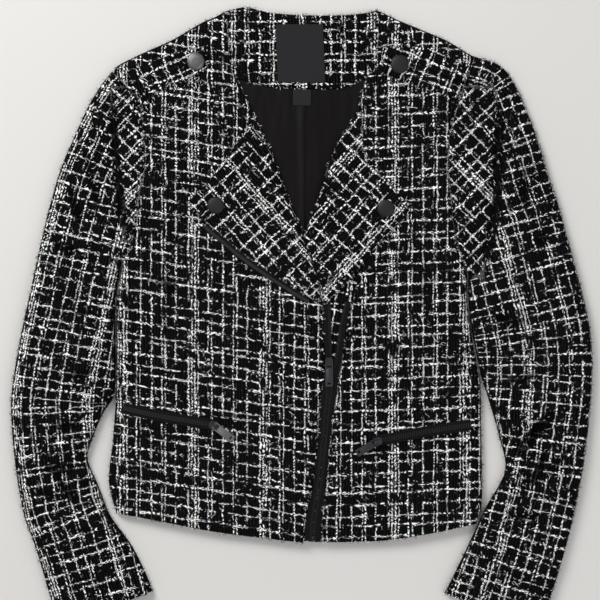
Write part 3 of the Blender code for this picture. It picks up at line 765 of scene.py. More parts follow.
@dataclass
class Nodes:
    """A small helper to write node graphs in one material."""

    material: bpy.types.Material

    @property
    def tree(self) -> bpy.types.NodeTree:
        """The material's node tree."""
        return self.material.node_tree

    def add(self, kind: str, **settings: object) -> bpy.types.Node:
        """Add a node and set its properties.

        Args:
            kind: the node's type.
            settings: its properties.

        Returns:
            The node.
        """
        node = self.tree.nodes.new(kind)
        for key, value in settings.items():
            setattr(node, key, value)
        return node

    def put(self, socket: bpy.types.NodeSocket, value: object) -> None:
        """Link a socket, or set its constant.

        Args:
            socket: the input.
            value: an output to link, or a constant.
        """
        if isinstance(value, bpy.types.NodeSocket):
            self.tree.links.new(value, socket)
        else:
            socket.default_value = value

    def math(self, operation: str, *values: object, clamp: bool = False) -> bpy.types.NodeSocket:
        """A maths node over sockets and constants.

        Args:
            operation: what the node does.
            values: its inputs, sockets or numbers.
            clamp: whether the result is kept from 0 to 1.

        Returns:
            The result.
        """
        node = self.add("ShaderNodeMath", operation=operation, use_clamp=clamp)
        for socket, value in zip(node.inputs, values):
            self.put(socket, value)
        return node.outputs[0]

    def noise(self, place: object, scale: float, detail: float = 2.0,
              turn: float = 0.0) -> bpy.types.NodeSocket:
        """Smooth noise from 0 to 1 at a place.

        Args:
            place: where it is read.
            scale: its scale.
            detail: its octaves.
            turn: the fourth coordinate, another for each use.

        Returns:
            The noise.
        """
        node = self.add("ShaderNodeTexNoise", noise_dimensions="4D")
        self.put(node.inputs["Vector"], place)
        node.inputs["W"].default_value = turn
        node.inputs["Scale"].default_value = scale
        node.inputs["Detail"].default_value = detail
        return node.outputs["Fac"]

    def step(self, value: object, low: float, high: float) -> bpy.types.NodeSocket:
        """Smooth step of a value from low to high.

        Args:
            value: what is compared.
            low: where it is still 0.
            high: where it has become 1.

        Returns:
            The result from 0 to 1.
        """
        node = self.add("ShaderNodeMapRange", interpolation_type="SMOOTHSTEP")
        self.put(node.inputs["Value"], value)
        node.inputs["From Min"].default_value = low
        node.inputs["From Max"].default_value = high
        return node.outputs[0]

    def mix(self, share: object, a: object, b: object) -> bpy.types.NodeSocket:
        """Mix of two colours.

        Args:
            share: how much of the second.
            a: the first colour.
            b: the second colour.

        Returns:
            The mixed colour.
        """
        node = self.add("ShaderNodeMix", data_type="RGBA")
        self.put(node.inputs["Factor"], share)
        self.put(node.inputs[6], a)
        self.put(node.inputs[7], b)
        return node.outputs[2]

    def join(self, x: object, y: object, z: object = 0.0) -> bpy.types.NodeSocket:
        """A vector from three numbers.

        Args:
            x: the first number.
            y: the second.
            z: the third.

        Returns:
            The vector.
        """
        node = self.add("ShaderNodeCombineXYZ")
        for socket, value in zip(node.inputs, (x, y, z)):
            self.put(socket, value)
        return node.outputs[0]

    def stretched(self, x: object, x_scale: float, y: object, y_scale: float,
                  z: float) -> bpy.types.NodeSocket:
        """A place for noise that is drawn out, each way at its own scale."""
        return self.join(self.math("MULTIPLY", x, x_scale), self.math("MULTIPLY", y, y_scale), z)

    def cloth_millimetres(self) -> tuple[bpy.types.NodeSocket, bpy.types.NodeSocket]:
        """Millimetres across and along the cloth, from its UV map."""
        u, v, _ = self.split(self.add("ShaderNodeUVMap", uv_map="UVMap").outputs[0])
        return self.math("MULTIPLY", u, 1000.0), self.math("MULTIPLY", v, 1000.0)

    def split(self, vector: object) -> list[bpy.types.NodeSocket]:
        """The three numbers of a vector.

        Args:
            vector: the vector.

        Returns:
            Its x, y and z.
        """
        node = self.add("ShaderNodeSeparateXYZ")
        self.put(node.inputs[0], vector)
        return list(node.outputs)

    def bump(self, height: object, strength: float, distance: float) -> bpy.types.NodeSocket:
        """A bumped normal from a height.

        Args:
            height: the height.
            strength: how much of it shows.
            distance: its depth in metres.

        Returns:
            The normal.
        """
        node = self.add("ShaderNodeBump")
        node.inputs["Strength"].default_value = strength
        node.inputs["Distance"].default_value = distance
        self.put(node.inputs["Height"], height)
        return node.outputs[0]

    @property
    def shader(self) -> bpy.types.Node:
        """The material's main shader."""
        return self.tree.nodes["Principled BSDF"]


def fresh(name: str) -> Nodes:
    """A new material with its helper.

    Args:
        name: the material's name.

    Returns:
        The helper, which holds the material.
    """
    material = bpy.data.materials.new(name)
    material.use_nodes = True
    return Nodes(material)


@dataclass(frozen=True)
class YarnSet:
    """The white yarns of one direction, charted over a repeat in millimetres."""

    repeat: float
    chart: tuple[tuple[float, float], ...]
    dash: float
    cover: float
    turn: float


# Place and half width of each white yarn in its repeat
WARPS = YarnSet(
    75.0,
    ((2.0, 1.3), (5.4, 1.2), (8.8, 1.4), (12.2, 1.0), (22.5, 1.15), (26.4, 0.9), (38.0, 1.2), (49.0, 0.9),
     (52.6, 1.2), (63.5, 1.2)),
    4.0, 0.10, 1.0)
WEFTS = YarnSet(
    66.0,
    ((3.0, 1.7), (16.0, 1.7), (22.5, 1.3), (35.5, 1.7), (47.5, 1.6), (57.0, 1.3)),
    6.4, 0.25, 21.0)


@dataclass(frozen=True)
class TweedFinish:
    """Black boucle ground with white slubby yarns both ways, over a charted repeat."""

    name: str = "tweed"
    ground: tuple[float, float, float, float] = (0.0012, 0.0012, 0.0014, 1.0)
    dark_yarn: tuple[float, float, float, float] = (0.013, 0.013, 0.014, 1.0)
    grey_yarn: tuple[float, float, float, float] = (0.17, 0.17, 0.17, 1.0)
    white: tuple[float, float, float, float] = (0.96, 0.95, 0.93, 1.0)

    @staticmethod
    def _yarns(n: Nodes, across: object, other: object, place: object,
               yarns: YarnSet) -> tuple[bpy.types.NodeSocket, bpy.types.NodeSocket]:
        """How bright the yarns of one direction are, and how high they stand.

        Args:
            n: the node helper.
            across: millimetres across the yarns.
            other: millimetres along the yarns.
            place: the cloth's place as a vector in millimetres.
            yarns: the chart.

        Returns:
            Brightness from 0 to 1, and height.
        """
        turn = yarns.turn
        cell = n.math("FLOOR", n.math("DIVIDE", across, yarns.repeat))
        path = n.stretched(across, 0.10, other, 0.06, turn)
        shift = n.math("MULTIPLY", n.math("SUBTRACT", n.noise(path, 1.0, 2.0), 0.5), 4.6)
        spot = n.math("SUBTRACT", across, n.math("MULTIPLY", cell, yarns.repeat))
        spot = n.math("ADD", spot, shift)
        gap = None
        for where, half in yarns.chart:
            own = n.math("DIVIDE", n.math("ABSOLUTE", n.math("SUBTRACT", spot, where)), half)
            gap = own if gap is None else n.math("MINIMUM", gap, own)
        slub = n.noise(n.stretched(across, 0.22, other, 0.34, turn + 3.0), 1.0, 3.0)
        thick = n.math("ADD", 0.22, n.math("MULTIPLY", n.step(slub, 0.34, 0.70), 1.15))
        ragged = n.math("MULTIPLY", n.math("SUBTRACT", n.noise(place, 0.9, 2.0, turn + 7.0), 0.5), 1.7)
        height = n.math("SUBTRACT", 1.0, n.math("DIVIDE", n.math("ADD", gap, ragged), thick))
        # Each yarn dives under the ground at its own steps, which leaves dots or dashes
        phase = n.noise(n.stretched(across, 0.30, other, 0.05, turn + 11.0), 1.0, 1.0)
        phase = n.math("MULTIPLY", phase, 40.0)
        beat = n.math("SINE", n.math("ADD", n.math("MULTIPLY", other, 2.0 * math.pi / yarns.dash), phase))
        beat = n.math("ADD", beat, n.math("MULTIPLY", ragged, 0.5))
        shown = n.step(beat, yarns.cover - 0.75, yarns.cover + 0.15)
        # Stretches where the yarn is spun darker
        fade = n.noise(n.stretched(across, 0.16, other, 0.045, turn + 17.0), 1.0, 2.0)
        fade = n.math("ADD", 0.10, n.math("MULTIPLY", n.step(fade, 0.38, 0.58), 1.0))
        bright = n.math("MULTIPLY", n.math("MULTIPLY", n.step(height, -0.15, 0.35), shown), fade)
        return bright, n.math("MULTIPLY", n.math("MAXIMUM", height, 0.0), shown)

    def make(self) -> bpy.types.Material:
        """Build the material.

        Returns:
            The material.
        """
        n = fresh(self.name)
        u, v = n.cloth_millimetres()
        place = n.join(u, v, 0.0)
        warp, warp_height = self._yarns(n, u, v, place, WARPS)
        weft, weft_height = self._yarns(n, v, u, place, WEFTS)
        light = n.math("MAXIMUM", warp, weft)
        # Loops of white boucle that stray between the yarns
        stray = n.noise(n.stretched(u, 0.85, v, 0.5, 5.0), 1.0, 2.0)
        broad = n.step(n.noise(place, 0.035, 2.0, 60.0), 0.40, 0.62)
        amount = n.math("ADD", 0.10, n.math("MULTIPLY", broad, 0.5))
        stray = n.math("MULTIPLY", n.step(stray, 0.66, 0.76), amount)
        light = n.step(n.math("MAXIMUM", light, stray), 0.20, 0.86)
        # Dark and grey plies of the ground
        wander = n.math("MULTIPLY", n.noise(place, 0.12), 9.0)
        ply = n.math("SINE", n.math("ADD", n.math("MULTIPLY", u, 2.05), wander))
        beads = n.math("SINE", n.math("MULTIPLY", v, 2.6))
        fine = n.math("ADD", n.math("MULTIPLY", ply, n.math("ADD", 0.6, n.math("MULTIPLY", beads, 0.4))),
                      n.math("MULTIPLY", n.math("SUBTRACT", n.noise(place, 1.3, 2.0, 90.0), 0.5), 3.0))
        ground = n.mix(n.step(fine, 0.0, 1.1), self.ground, self.dark_yarn)
        patches = n.step(n.noise(place, 0.08, 2.0, 33.0), 0.48, 0.66)
        grey = n.math("MULTIPLY", n.step(fine, 0.95, 1.7), patches)
        ground = n.mix(grey, ground, self.grey_yarn)
        shade = n.math("ADD", 0.95, n.math("MULTIPLY", n.noise(place, 2.0, 2.0, 80.0), 0.4))
        colour = n.mix(n.math("MULTIPLY", light, shade, clamp=True), ground, self.white)
        # Painted shade: the cloth is drawn darker, towards the black ground, where it lies below the cloth
        # around it, in folds and creases
        hollow = n.add("ShaderNodeAttribute", attribute_name="hollow").outputs["Fac"]
        painted_crease_shade = n.math("MULTIPLY", n.step(hollow, 0.05, 0.85), 0.96)
        colour = n.mix(painted_crease_shade, colour, self.ground)
        n.put(n.shader.inputs["Base Color"], colour)
        n.shader.inputs["Roughness"].default_value = 0.95
        n.shader.inputs["Specular IOR Level"].default_value = 0.02
        n.shader.inputs["Sheen Weight"].default_value = 0.004
        n.shader.inputs["Sheen Roughness"].default_value = 0.5
        height = n.math("ADD", n.math("MAXIMUM", warp_height, weft_height), n.math("MULTIPLY", fine, 0.25))
        n.put(n.shader.inputs["Normal"], n.bump(height, 0.9, 0.0007))
        return n.material


@dataclass(frozen=True)
class SatinFinish:
    """Black satin with soft gathers that run down it."""

    name: str = "satin"

    def make(self) -> bpy.types.Material:
        """Build the material.

        Returns:
            The material.
        """
        n = fresh(self.name)
        u, v = n.cloth_millimetres()
        gather = n.noise(n.stretched(u, 0.045, v, 0.008, 0.0), 1.0, 2.0)
        thread = n.math("SINE", n.math("MULTIPLY", v, 12.0))
        height = n.math("ADD", n.math("MULTIPLY", gather, 5.0), n.math("MULTIPLY", thread, 0.03))
        n.shader.inputs["Base Color"].default_value = (0.0042, 0.0033, 0.0033, 1.0)
        n.put(n.shader.inputs["Roughness"], n.math("ADD", 0.36, n.math("MULTIPLY", gather, 0.12)))
        n.shader.inputs["Specular IOR Level"].default_value = 0.07
        n.shader.inputs["Sheen Weight"].default_value = 0.003
        n.put(n.shader.inputs["Normal"], n.bump(height, 0.5, 0.0012))
        return n.material


@dataclass(frozen=True)
class RibFinish:
    """Ribbed zip tape or a plain woven label, dark and matte."""

    name: str
    colour: tuple[float, float, float, float]
    pitch: float = 1.1
    depth: float = 0.35

    def make(self) -> bpy.types.Material:
        """Build the material.

        Returns:
            The material.
        """
        n = fresh(self.name)
        u, v = n.cloth_millimetres()
        place = n.join(u, v, 0.0)
        turn = 2.0 * math.pi / self.pitch
        rib = n.math("SINE", n.math("MULTIPLY", v, turn))
        weave = n.math("SINE", n.math("MULTIPLY", u, turn * 1.3))
        height = n.math("ADD", n.math("MULTIPLY", rib, 0.5), n.math("MULTIPLY", weave, 0.2))
        # Painted highlight: the ribs' crests are drawn lighter, by an amount that varies at random along the
        # tape or label
        crest_highlight_spread = n.noise(place, 1.4, 3.0)
        crest_highlight_colour = tuple(min(1.0, c * 1.8 + 0.004) for c in self.colour[:3]) + (1.0,)
        share = n.math("MULTIPLY", n.step(rib, -0.6, 1.0), n.math("ADD", 0.3, n.math("MULTIPLY", crest_highlight_spread, 0.7)))
        n.put(n.shader.inputs["Base Color"], n.mix(share, self.colour, crest_highlight_colour))
        n.shader.inputs["Roughness"].default_value = 0.8
        n.shader.inputs["Specular IOR Level"].default_value = 0.05
        n.shader.inputs["Sheen Weight"].default_value = 0.01
        n.put(n.shader.inputs["Normal"], n.bump(height, self.depth, 0.0004))
        return n.material


@dataclass(frozen=True)
class MetalFinish:
    """A metal or lacquered finish with fine wear."""

    name: str
    colour: tuple[float, float, float, float]
    roughness: float
    metallic: float = 1.0

    def make(self) -> bpy.types.Material:
        """Build the material.

        Returns:
            The material.
        """
        n = fresh(self.name)
        place = n.add("ShaderNodeTexCoord").outputs["Object"]
        wear = n.noise(place, 900.0, 3.0)
        n.shader.inputs["Base Color"].default_value = self.colour
        n.shader.inputs["Metallic"].default_value = self.metallic
        low = n.math("ADD", self.roughness - 0.06, n.math("MULTIPLY", wear, 0.14))
        n.put(n.shader.inputs["Roughness"], low)
        n.put(n.shader.inputs["Normal"], n.bump(wear, 0.12, 0.0002))
        return n.material


@dataclass(frozen=True)
class FibreFinish:
    """Loose fibres, some white and some black."""

    name: str = "fibres"
    white_share: float = 0.30
    black: tuple[float, float, float, float] = (0.003, 0.003, 0.0035, 1.0)
    white: tuple[float, float, float, float] = (0.86, 0.85, 0.83, 1.0)

    def make(self) -> bpy.types.Material:
        """Build the material.

        Returns:
            The material.
        """
        n = fresh(self.name)
        tone = n.add("ShaderNodeAttribute", attribute_name="tone").outputs["Fac"]
        share = n.step(tone, 1.0 - self.white_share, 1.0 - 0.4 * self.white_share)
        n.put(n.shader.inputs["Base Color"], n.mix(share, self.black, self.white))
        n.shader.inputs["Roughness"].default_value = 0.95
        n.shader.inputs["Specular IOR Level"].default_value = 0.02
        return n.material


@dataclass(frozen=True)
class FloorFinish:
    """Plain pale floor, matte."""

    name: str = "floor"
    colour: tuple[float, float, float, float] = (0.565, 0.55, 0.53, 1.0)

    def make(self) -> bpy.types.Material:
        """Build the material.

        Returns:
            The material.
        """
        n = fresh(self.name)
        place = n.add("ShaderNodeTexCoord").outputs["Object"]
        tone = n.noise(place, 3.0, 2.0)
        soft = tuple(c * 0.97 for c in self.colour[:3]) + (1.0,)
        n.put(n.shader.inputs["Base Color"], n.mix(tone, self.colour, soft))
        n.shader.inputs["Roughness"].default_value = 0.9
        n.put(n.shader.inputs["Normal"], n.bump(n.noise(place, 700.0, 2.0), 0.05, 0.0003))
        return n.material


@dataclass
class Finishes:
    """All the scene's materials."""

    tweed: bpy.types.Material = field(default_factory=lambda: TweedFinish().make())
    satin: bpy.types.Material = field(default_factory=lambda: SatinFinish().make())
    tape: bpy.types.Material = field(
        default_factory=lambda: RibFinish("tape", (0.0035, 0.0035, 0.004, 1.0)).make())
    label: bpy.types.Material = field(
        default_factory=lambda: RibFinish("label", (0.013, 0.013, 0.0145, 1.0), 0.8, 0.2).make())
    teeth: bpy.types.Material = field(
        default_factory=lambda: MetalFinish("teeth", (0.006, 0.006, 0.0065, 1.0), 0.45, 0.0).make())
    fibres: bpy.types.Material = field(default_factory=lambda: FibreFinish().make())
    metal: bpy.types.Material = field(
        default_factory=lambda: MetalFinish("gunmetal", (0.055, 0.055, 0.06, 1.0), 0.36).make())
    # A lighter copy of the gunmetal: painted highlight on the hardware that catches the light, the right
    # pocket's pull with its rim and the right epaulette's snap
    bright: bpy.types.Material = field(
        default_factory=lambda: MetalFinish("gunmetal_painted_highlight", (0.13, 0.13, 0.135, 1.0), 0.42).make())
    snap: bpy.types.Material = field(
        default_factory=lambda: MetalFinish("snap", (0.012, 0.012, 0.013, 1.0), 0.5, 0.6).make())


# ---------------------------------------------------------------- the jacket

FINE = 3.0
PLEAT_X = 3.0
LAPEL_TOP = BODY_TOP + LAYER_GAP + TWEED


def even(length: float, size: float = FINE) -> int:
    """Number of even steps of a given size over a length."""
    return max(2, round(length / size))


def panel_side(side: Side) -> tuple[Line, np.ndarray]:
    """A body panel's side, armhole and side seam, with its shares.

    Args:
        side: the wearer's side.

    Returns:
        The polyline and its shares.
    """
    rows = ((HEADS[side], even(40.0, 4.0)), (SCYES[side], even(200.0)), (SIDES[side], even(260.0)))
    lines = [line for line, _ in rows]
    return joined(*lines), part_shares([(line, np.linspace(0.0, 1.0, count + 1)) for line, count in rows])


@dataclass
class Back:
    """Back panel, its neck facing, the pleated lining and the two bare labels."""

    finishes: Finishes

    def build(self) -> None:
        """Build and dress every sheet of the back."""
        self._panel()
        self._facing()
        self._lining()
        self._labels()

    def _panel(self) -> None:
        """The back panel, flat on the surface."""
        top = joined(SHOULDERS[Side.RIGHT], curve(BACK_NECK), SHOULDERS[Side.LEFT])
        left, down = panel_side(Side.RIGHT)
        right, down_right = panel_side(Side.LEFT)
        grid = patch(top, curve(BACK_HEM), left, right, shares(100, 430.0), down, down_right)
        sheet = Sheet("cloth_back", grid, level(BACK_TOP), UNDER_TWEED, Grain(), turned_edge=0.5)
        piece = sheet.build()
        declare(sheet, piece, Slot.TWEED, ("back",), self.finishes.tweed)

    def _facing(self) -> None:
        """The neck facing, in tweed, over the back."""
        neck = ((-76.5, 322),) + BACK_NECK[1:-1] + ((74, 322.4),)
        left = curve(((-76.5, 322), (-76, 311), (-84, 296), (-87, 270), (-84, 249)))
        right = curve(((74, 322.4), (77, 311), (86, 296), (87, 270), (83, 249)))
        grid = patch(curve(neck), curve(FACING_SEAM), left, right, shares(60, 170.0), shares(22, 75.0))
        grain = Grain(0.0, 0.0, (7, 9))
        sheet = Sheet("cloth_facing", grid, level(FACING_TOP), TWEED, grain, turned_edge=0.6)
        piece = sheet.build()
        declare(sheet, piece, Slot.TWEED, ("back_neck_facing",), self.finishes.tweed)

    def _lining(self) -> None:
        """The satin lining with its centre pleat."""
        seam = curve(FACING_SEAM) - np.array((0.0, 0.5))
        left_side = curve((tuple(seam[0]), (-76, 205), (-56, 150), (-38, 105), (-26, 64)))
        right_side = curve((tuple(seam[-1]), (80, 205), (62, 150), (44, 105), (30, 64)))
        low = curve((tuple(left_side[-1]), tuple(right_side[-1])))

        def height(pts: np.ndarray) -> np.ndarray:
            """The lining's face, with the pleat's step and soft gathers that grow down it.

            Args:
                pts: places on the cloth, x and y in millimetres, one a row.

            Returns:
                The heights there.
            """
            away = pts[:, 0] - PLEAT_X
            pleat = 1.1 * np.exp(-(away / np.where(away < 0.0, 7.0, 0.8)) ** 2)
            fall = np.clip((249.0 - pts[:, 1]) / 40.0, 0.0, 1.0)
            x = pts[:, 0]
            gathers = 0.5 * np.sin(x / 7.4 + 0.7 * np.sin(pts[:, 1] / 39.0)) + 0.5 * np.sin(x / 11.3 + 2.0)
            return LINING_TOP + pleat + 0.25 + 0.6 * fall * (1.0 + gathers)

        grid = patch(seam, low, left_side, right_side, shares(90, 170.0), shares(60, 190.0))
        sheet = Sheet("cloth_lining", grid, height, LINING, Grain(), turned_edge=0.0)
        piece = sheet.build()
        declare(sheet, piece, Slot.LINING, ("back_lining",), self.finishes.satin)

    @staticmethod
    def _rounded(grid: np.ndarray, radius: float) -> np.ndarray:
        """The grid with its four corners rounded.

        Args:
            grid: a rectangular grid.
            radius: the corners' radius.

        Returns:
            The rounded grid.
        """
        low, high = grid.min(axis=(0, 1)), grid.max(axis=(0, 1))
        middle, half = (low + high) / 2, (high - low) / 2
        away = grid - middle
        share = np.clip((np.abs(away) - (half - radius)) / radius, 0.0, 1.0)
        pulled = share * np.sqrt(1.0 - share[..., ::-1] ** 2 / 2.0)
        return grid - np.sign(away) * (share - pulled) * radius

    def _labels(self) -> None:
        """Main label and size label, both bare."""
        spots = (
            # name, upper edge, lower edge, height, corner radius, what it lies on
            ("main_label", ((-27.3, 309), (22.6, 309)), ((-25, 248), (25, 248)), 6.0, 2.6, "cloth_facing"),
            ("size_label", ((-9, 240), (10, 240)), ((-9, 223.5), (10, 223.5)), 5.9, 0.8, "cloth_lining"),
        )
        for name, top, low, top_level, radius, below in spots:
            t, b = curve(top), curve(low)
            left, right = np.array((t[0], b[0])), np.array((t[-1], b[-1]))
            width, tall = t[-1, 0] - t[0, 0], t[0, 1] - b[0, 1]
            grid = patch(t, b, left, right, np.linspace(0, 1, even(width, 1.0) + 1),
                         np.linspace(0, 1, even(tall, 1.0) + 1))
            grid = self._rounded(grid, radius)

            def height(pts: np.ndarray, top_level: float = top_level) -> np.ndarray:
                """The label's face, slightly buckled."""
                return top_level + 0.18 * np.sin(pts[:, 0] / 9.0) * np.sin(pts[:, 1] / 13.0)

            sheet = Sheet("cloth_" + name, grid, height, LABEL, Grain(), turned_edge=0.25, turned_width=0.8)
            piece = sheet.build()
            declare(sheet, piece, Slot.LABEL, (name,), self.finishes.label)


# Grain of each front, of its lapel and of its epaulette
FRONT_GRAINS = {
    Side.RIGHT: (Grain(0.0, -0.15, (45.5, 0.0)), Grain(42.0, 0.0, (31.7, 5.0)), Grain(24.0)),
    Side.LEFT: (Grain(0.0, 0.04, (-14.6, 4.0)), Grain(-42.0, 0.0, (9.0, 2.0)), Grain(-22.0)),
}


@dataclass
class Front:
    """One front panel with its lapel and epaulette."""

    side: Side
    finishes: Finishes
    grain: Grain
    lapel_grain: Grain
    epaulette_grain: Grain
    epaulette: Points
    roll_reach: float = 1.3
    neck_drop: float = 3.2
    neck_roll: float = 8.0
    lapel_drop: float = 5.6
    lapel_roll: float = 5.0

    def build(self) -> None:
        """Build and dress the front, the lapel and the epaulette."""
        self._panel()
        self._lapel()
        self._epaulette()

    def _panel(self) -> None:
        """The front from shoulder to hem, with a rolled front edge."""
        side = self.side
        outer, down = panel_side(side)
        across = shares(66, 200.0)
        if side is Side.RIGHT:
            edge, hem = curve(RIGHT_FRONT_EDGE), curve(RIGHT_HEM)
            grid = patch(SHOULDERS[side], hem, outer, edge, across, down)
        else:
            edge, hem = curve(LEFT_FRONT_EDGE), curve(LEFT_HEM)
            grid = patch(SHOULDERS[side], hem, edge, outer, across, down)
        neck = edge[edge[:, 1] > 20.0]

        def height(pts: np.ndarray) -> np.ndarray:
            """The front's face, rolled under along the neck.

            Args:
                pts: places on the cloth, x and y in millimetres, one a row.

            Returns:
                The heights there.
            """
            gap, _ = nearest(neck, pts)
            return RELIEF.body(pts) - self.neck_drop * (1.0 - RELIEF.roll(gap, self.neck_roll))

        sheet = Sheet(f"cloth_front_{side.value}", grid, height, TWEED, self.grain)
        piece = sheet.build()
        declare(sheet, piece, Slot.TWEED, (f"front_{side.value}",), self.finishes.tweed)

    def _lapel(self) -> None:
        """The turned-back lapel, rolled along its fold."""
        rows, columns = shares(52, 150.0), shares(48, 100.0)
        around = self.roll_reach
        if self.side is Side.RIGHT:
            roll = offset(curve(RIGHT_ROLL_LINE), -around)
            top, low = curve(RIGHT_LAPEL_TOP), curve(RIGHT_LAPEL_LOW)
            top = joined(roll[:1], top[1:])
            low = joined(low[:-1], roll[-1:])
            grid = patch(top[::-1], curve((tuple(roll[-1]),) * 2), low, roll, columns, rows)[:-1]
        else:
            roll = offset(curve(LEFT_ROLL_LINE), around)
            top, low = curve(LEFT_LAPEL_TOP), curve(LEFT_LAPEL_LOW)
            top = joined(roll[:1], top[1:])
            low = joined(low[:-1], roll[-1:])
            grid = patch(top, curve((tuple(roll[-1]),) * 2), roll, low, columns, rows)[:-1]

        def height(pts: np.ndarray) -> np.ndarray:
            """The lapel's face, full beside its fold and rolled down over it.

            Args:
                pts: places on the cloth, x and y in millimetres, one a row.

            Returns:
                The heights there.
            """
            gap, _ = nearest(roll, pts)
            soft = 0.8 * np.exp(-(gap / 30.0) ** 2) + 0.25 * np.sin(pts[:, 0] / 14.0 + pts[:, 1] / 22.0)
            soft = soft * calm(pts)
            return LAPEL_TOP + soft - self.lapel_drop * (1.0 - RELIEF.roll(gap, self.lapel_roll))

        sheet = Sheet(f"cloth_lapel_{self.side.value}", grid, height, TWEED, self.lapel_grain)
        piece = sheet.build()
        declare(sheet, piece, Slot.TWEED, (f"lapel_{self.side.value}",), self.finishes.tweed)

    def _epaulette(self) -> None:
        """The shoulder strap, snapped at the neck."""
        a, b, low_mid, low_neck, end_low, end_top, top_mid = self.epaulette
        upper, lower = curve((a, top_mid, end_top)), curve((b, low_mid, low_neck, end_low))
        seam, end = curve((a, b)), curve((end_top, end_low))
        if self.side is Side.LEFT:
            upper, lower, seam, end = upper[::-1], lower[::-1], end, seam
        grid = patch(upper, lower, seam, end, shares(26, 85.0), shares(8, 30.0))
        rise = LAYER_GAP + TWEED
        sheet = Sheet(f"cloth_epaulette_{self.side.value}", grid, RELIEF.above_body(rise), TWEED,
                      self.epaulette_grain)
        piece = sheet.build()
        declare(sheet, piece, Slot.TWEED, (f"epaulette_{self.side.value}",), self.finishes.tweed)


@dataclass
class Sleeve:
    """Top and under sleeve of one arm."""

    side: Side
    finishes: Finishes
    outer_scye_share: float = 0.36
    seam_gap: float = 0.8
    head_turn: float = 44.0

    def _grid(self, across: np.ndarray, scye_rows: int, arm_rows: int) -> np.ndarray:
        """Grid over the sleeve: its head across, its scye and inner seam down one side.

        Args:
            across: shares across the sleeve.
            scye_rows: rows beside the scye.
            arm_rows: rows from there to the cuff.

        Returns:
            The grid.
        """
        away = self.seam_gap if self.side is Side.RIGHT else -self.seam_gap
        head, scye = offset(HEADS[self.side], away), offset(SCYES[self.side], away)
        outer, inner = OUTERS[self.side], INNERS[self.side]
        head = joined(outer[:1], head[1:])
        scye = joined(scye[:-1], inner[:1])
        cuff = np.array((outer[-1], inner[-1]))
        scye_down = np.linspace(0.0, 1.0, scye_rows + 1)
        arm_down = shares(arm_rows, 370.0, False, True)
        seam, down = joined(scye, inner), part_shares([(scye, scye_down), (inner, arm_down)])
        below = self.outer_scye_share + (1.0 - self.outer_scye_share) * arm_down
        outer_down = np.concatenate([self.outer_scye_share * scye_down, below[1:]])
        if self.side is Side.RIGHT:
            return patch(head, cuff, outer, seam, across, outer_down, down)
        return patch(head[::-1], cuff[::-1], seam, outer, 1.0 - across[::-1], down, outer_down)

    def build(self) -> None:
        """Build and dress both halves of the sleeve."""
        word = self.side.value
        if self.side is Side.RIGHT:
            grain = ArmGrain(self.side, FOLDS[0][2], -self.head_turn)
        else:
            grain = ArmGrain(self.side, FOLDS[1][2], self.head_turn)
        grid = self._grid(shares(32, 105.0), 66, 118)
        sheet = Sheet(f"cloth_top_sleeve_{word}", grid, RELIEF.sleeve(self.side), TWEED, grain)
        piece = sheet.build()
        declare(sheet, piece, Slot.TWEED, (f"top_sleeve_{word}",), self.finishes.tweed)
        grid = self._grid(shares(14, 105.0), 28, 54)
        sheet = Sheet(f"cloth_under_sleeve_{word}", grid, level(BACK_TOP), UNDER_TWEED, grain,
                      turned_edge=0.5)
        piece = sheet.build()
        declare(sheet, piece, Slot.TWEED, (f"under_sleeve_{word}",), self.finishes.tweed)


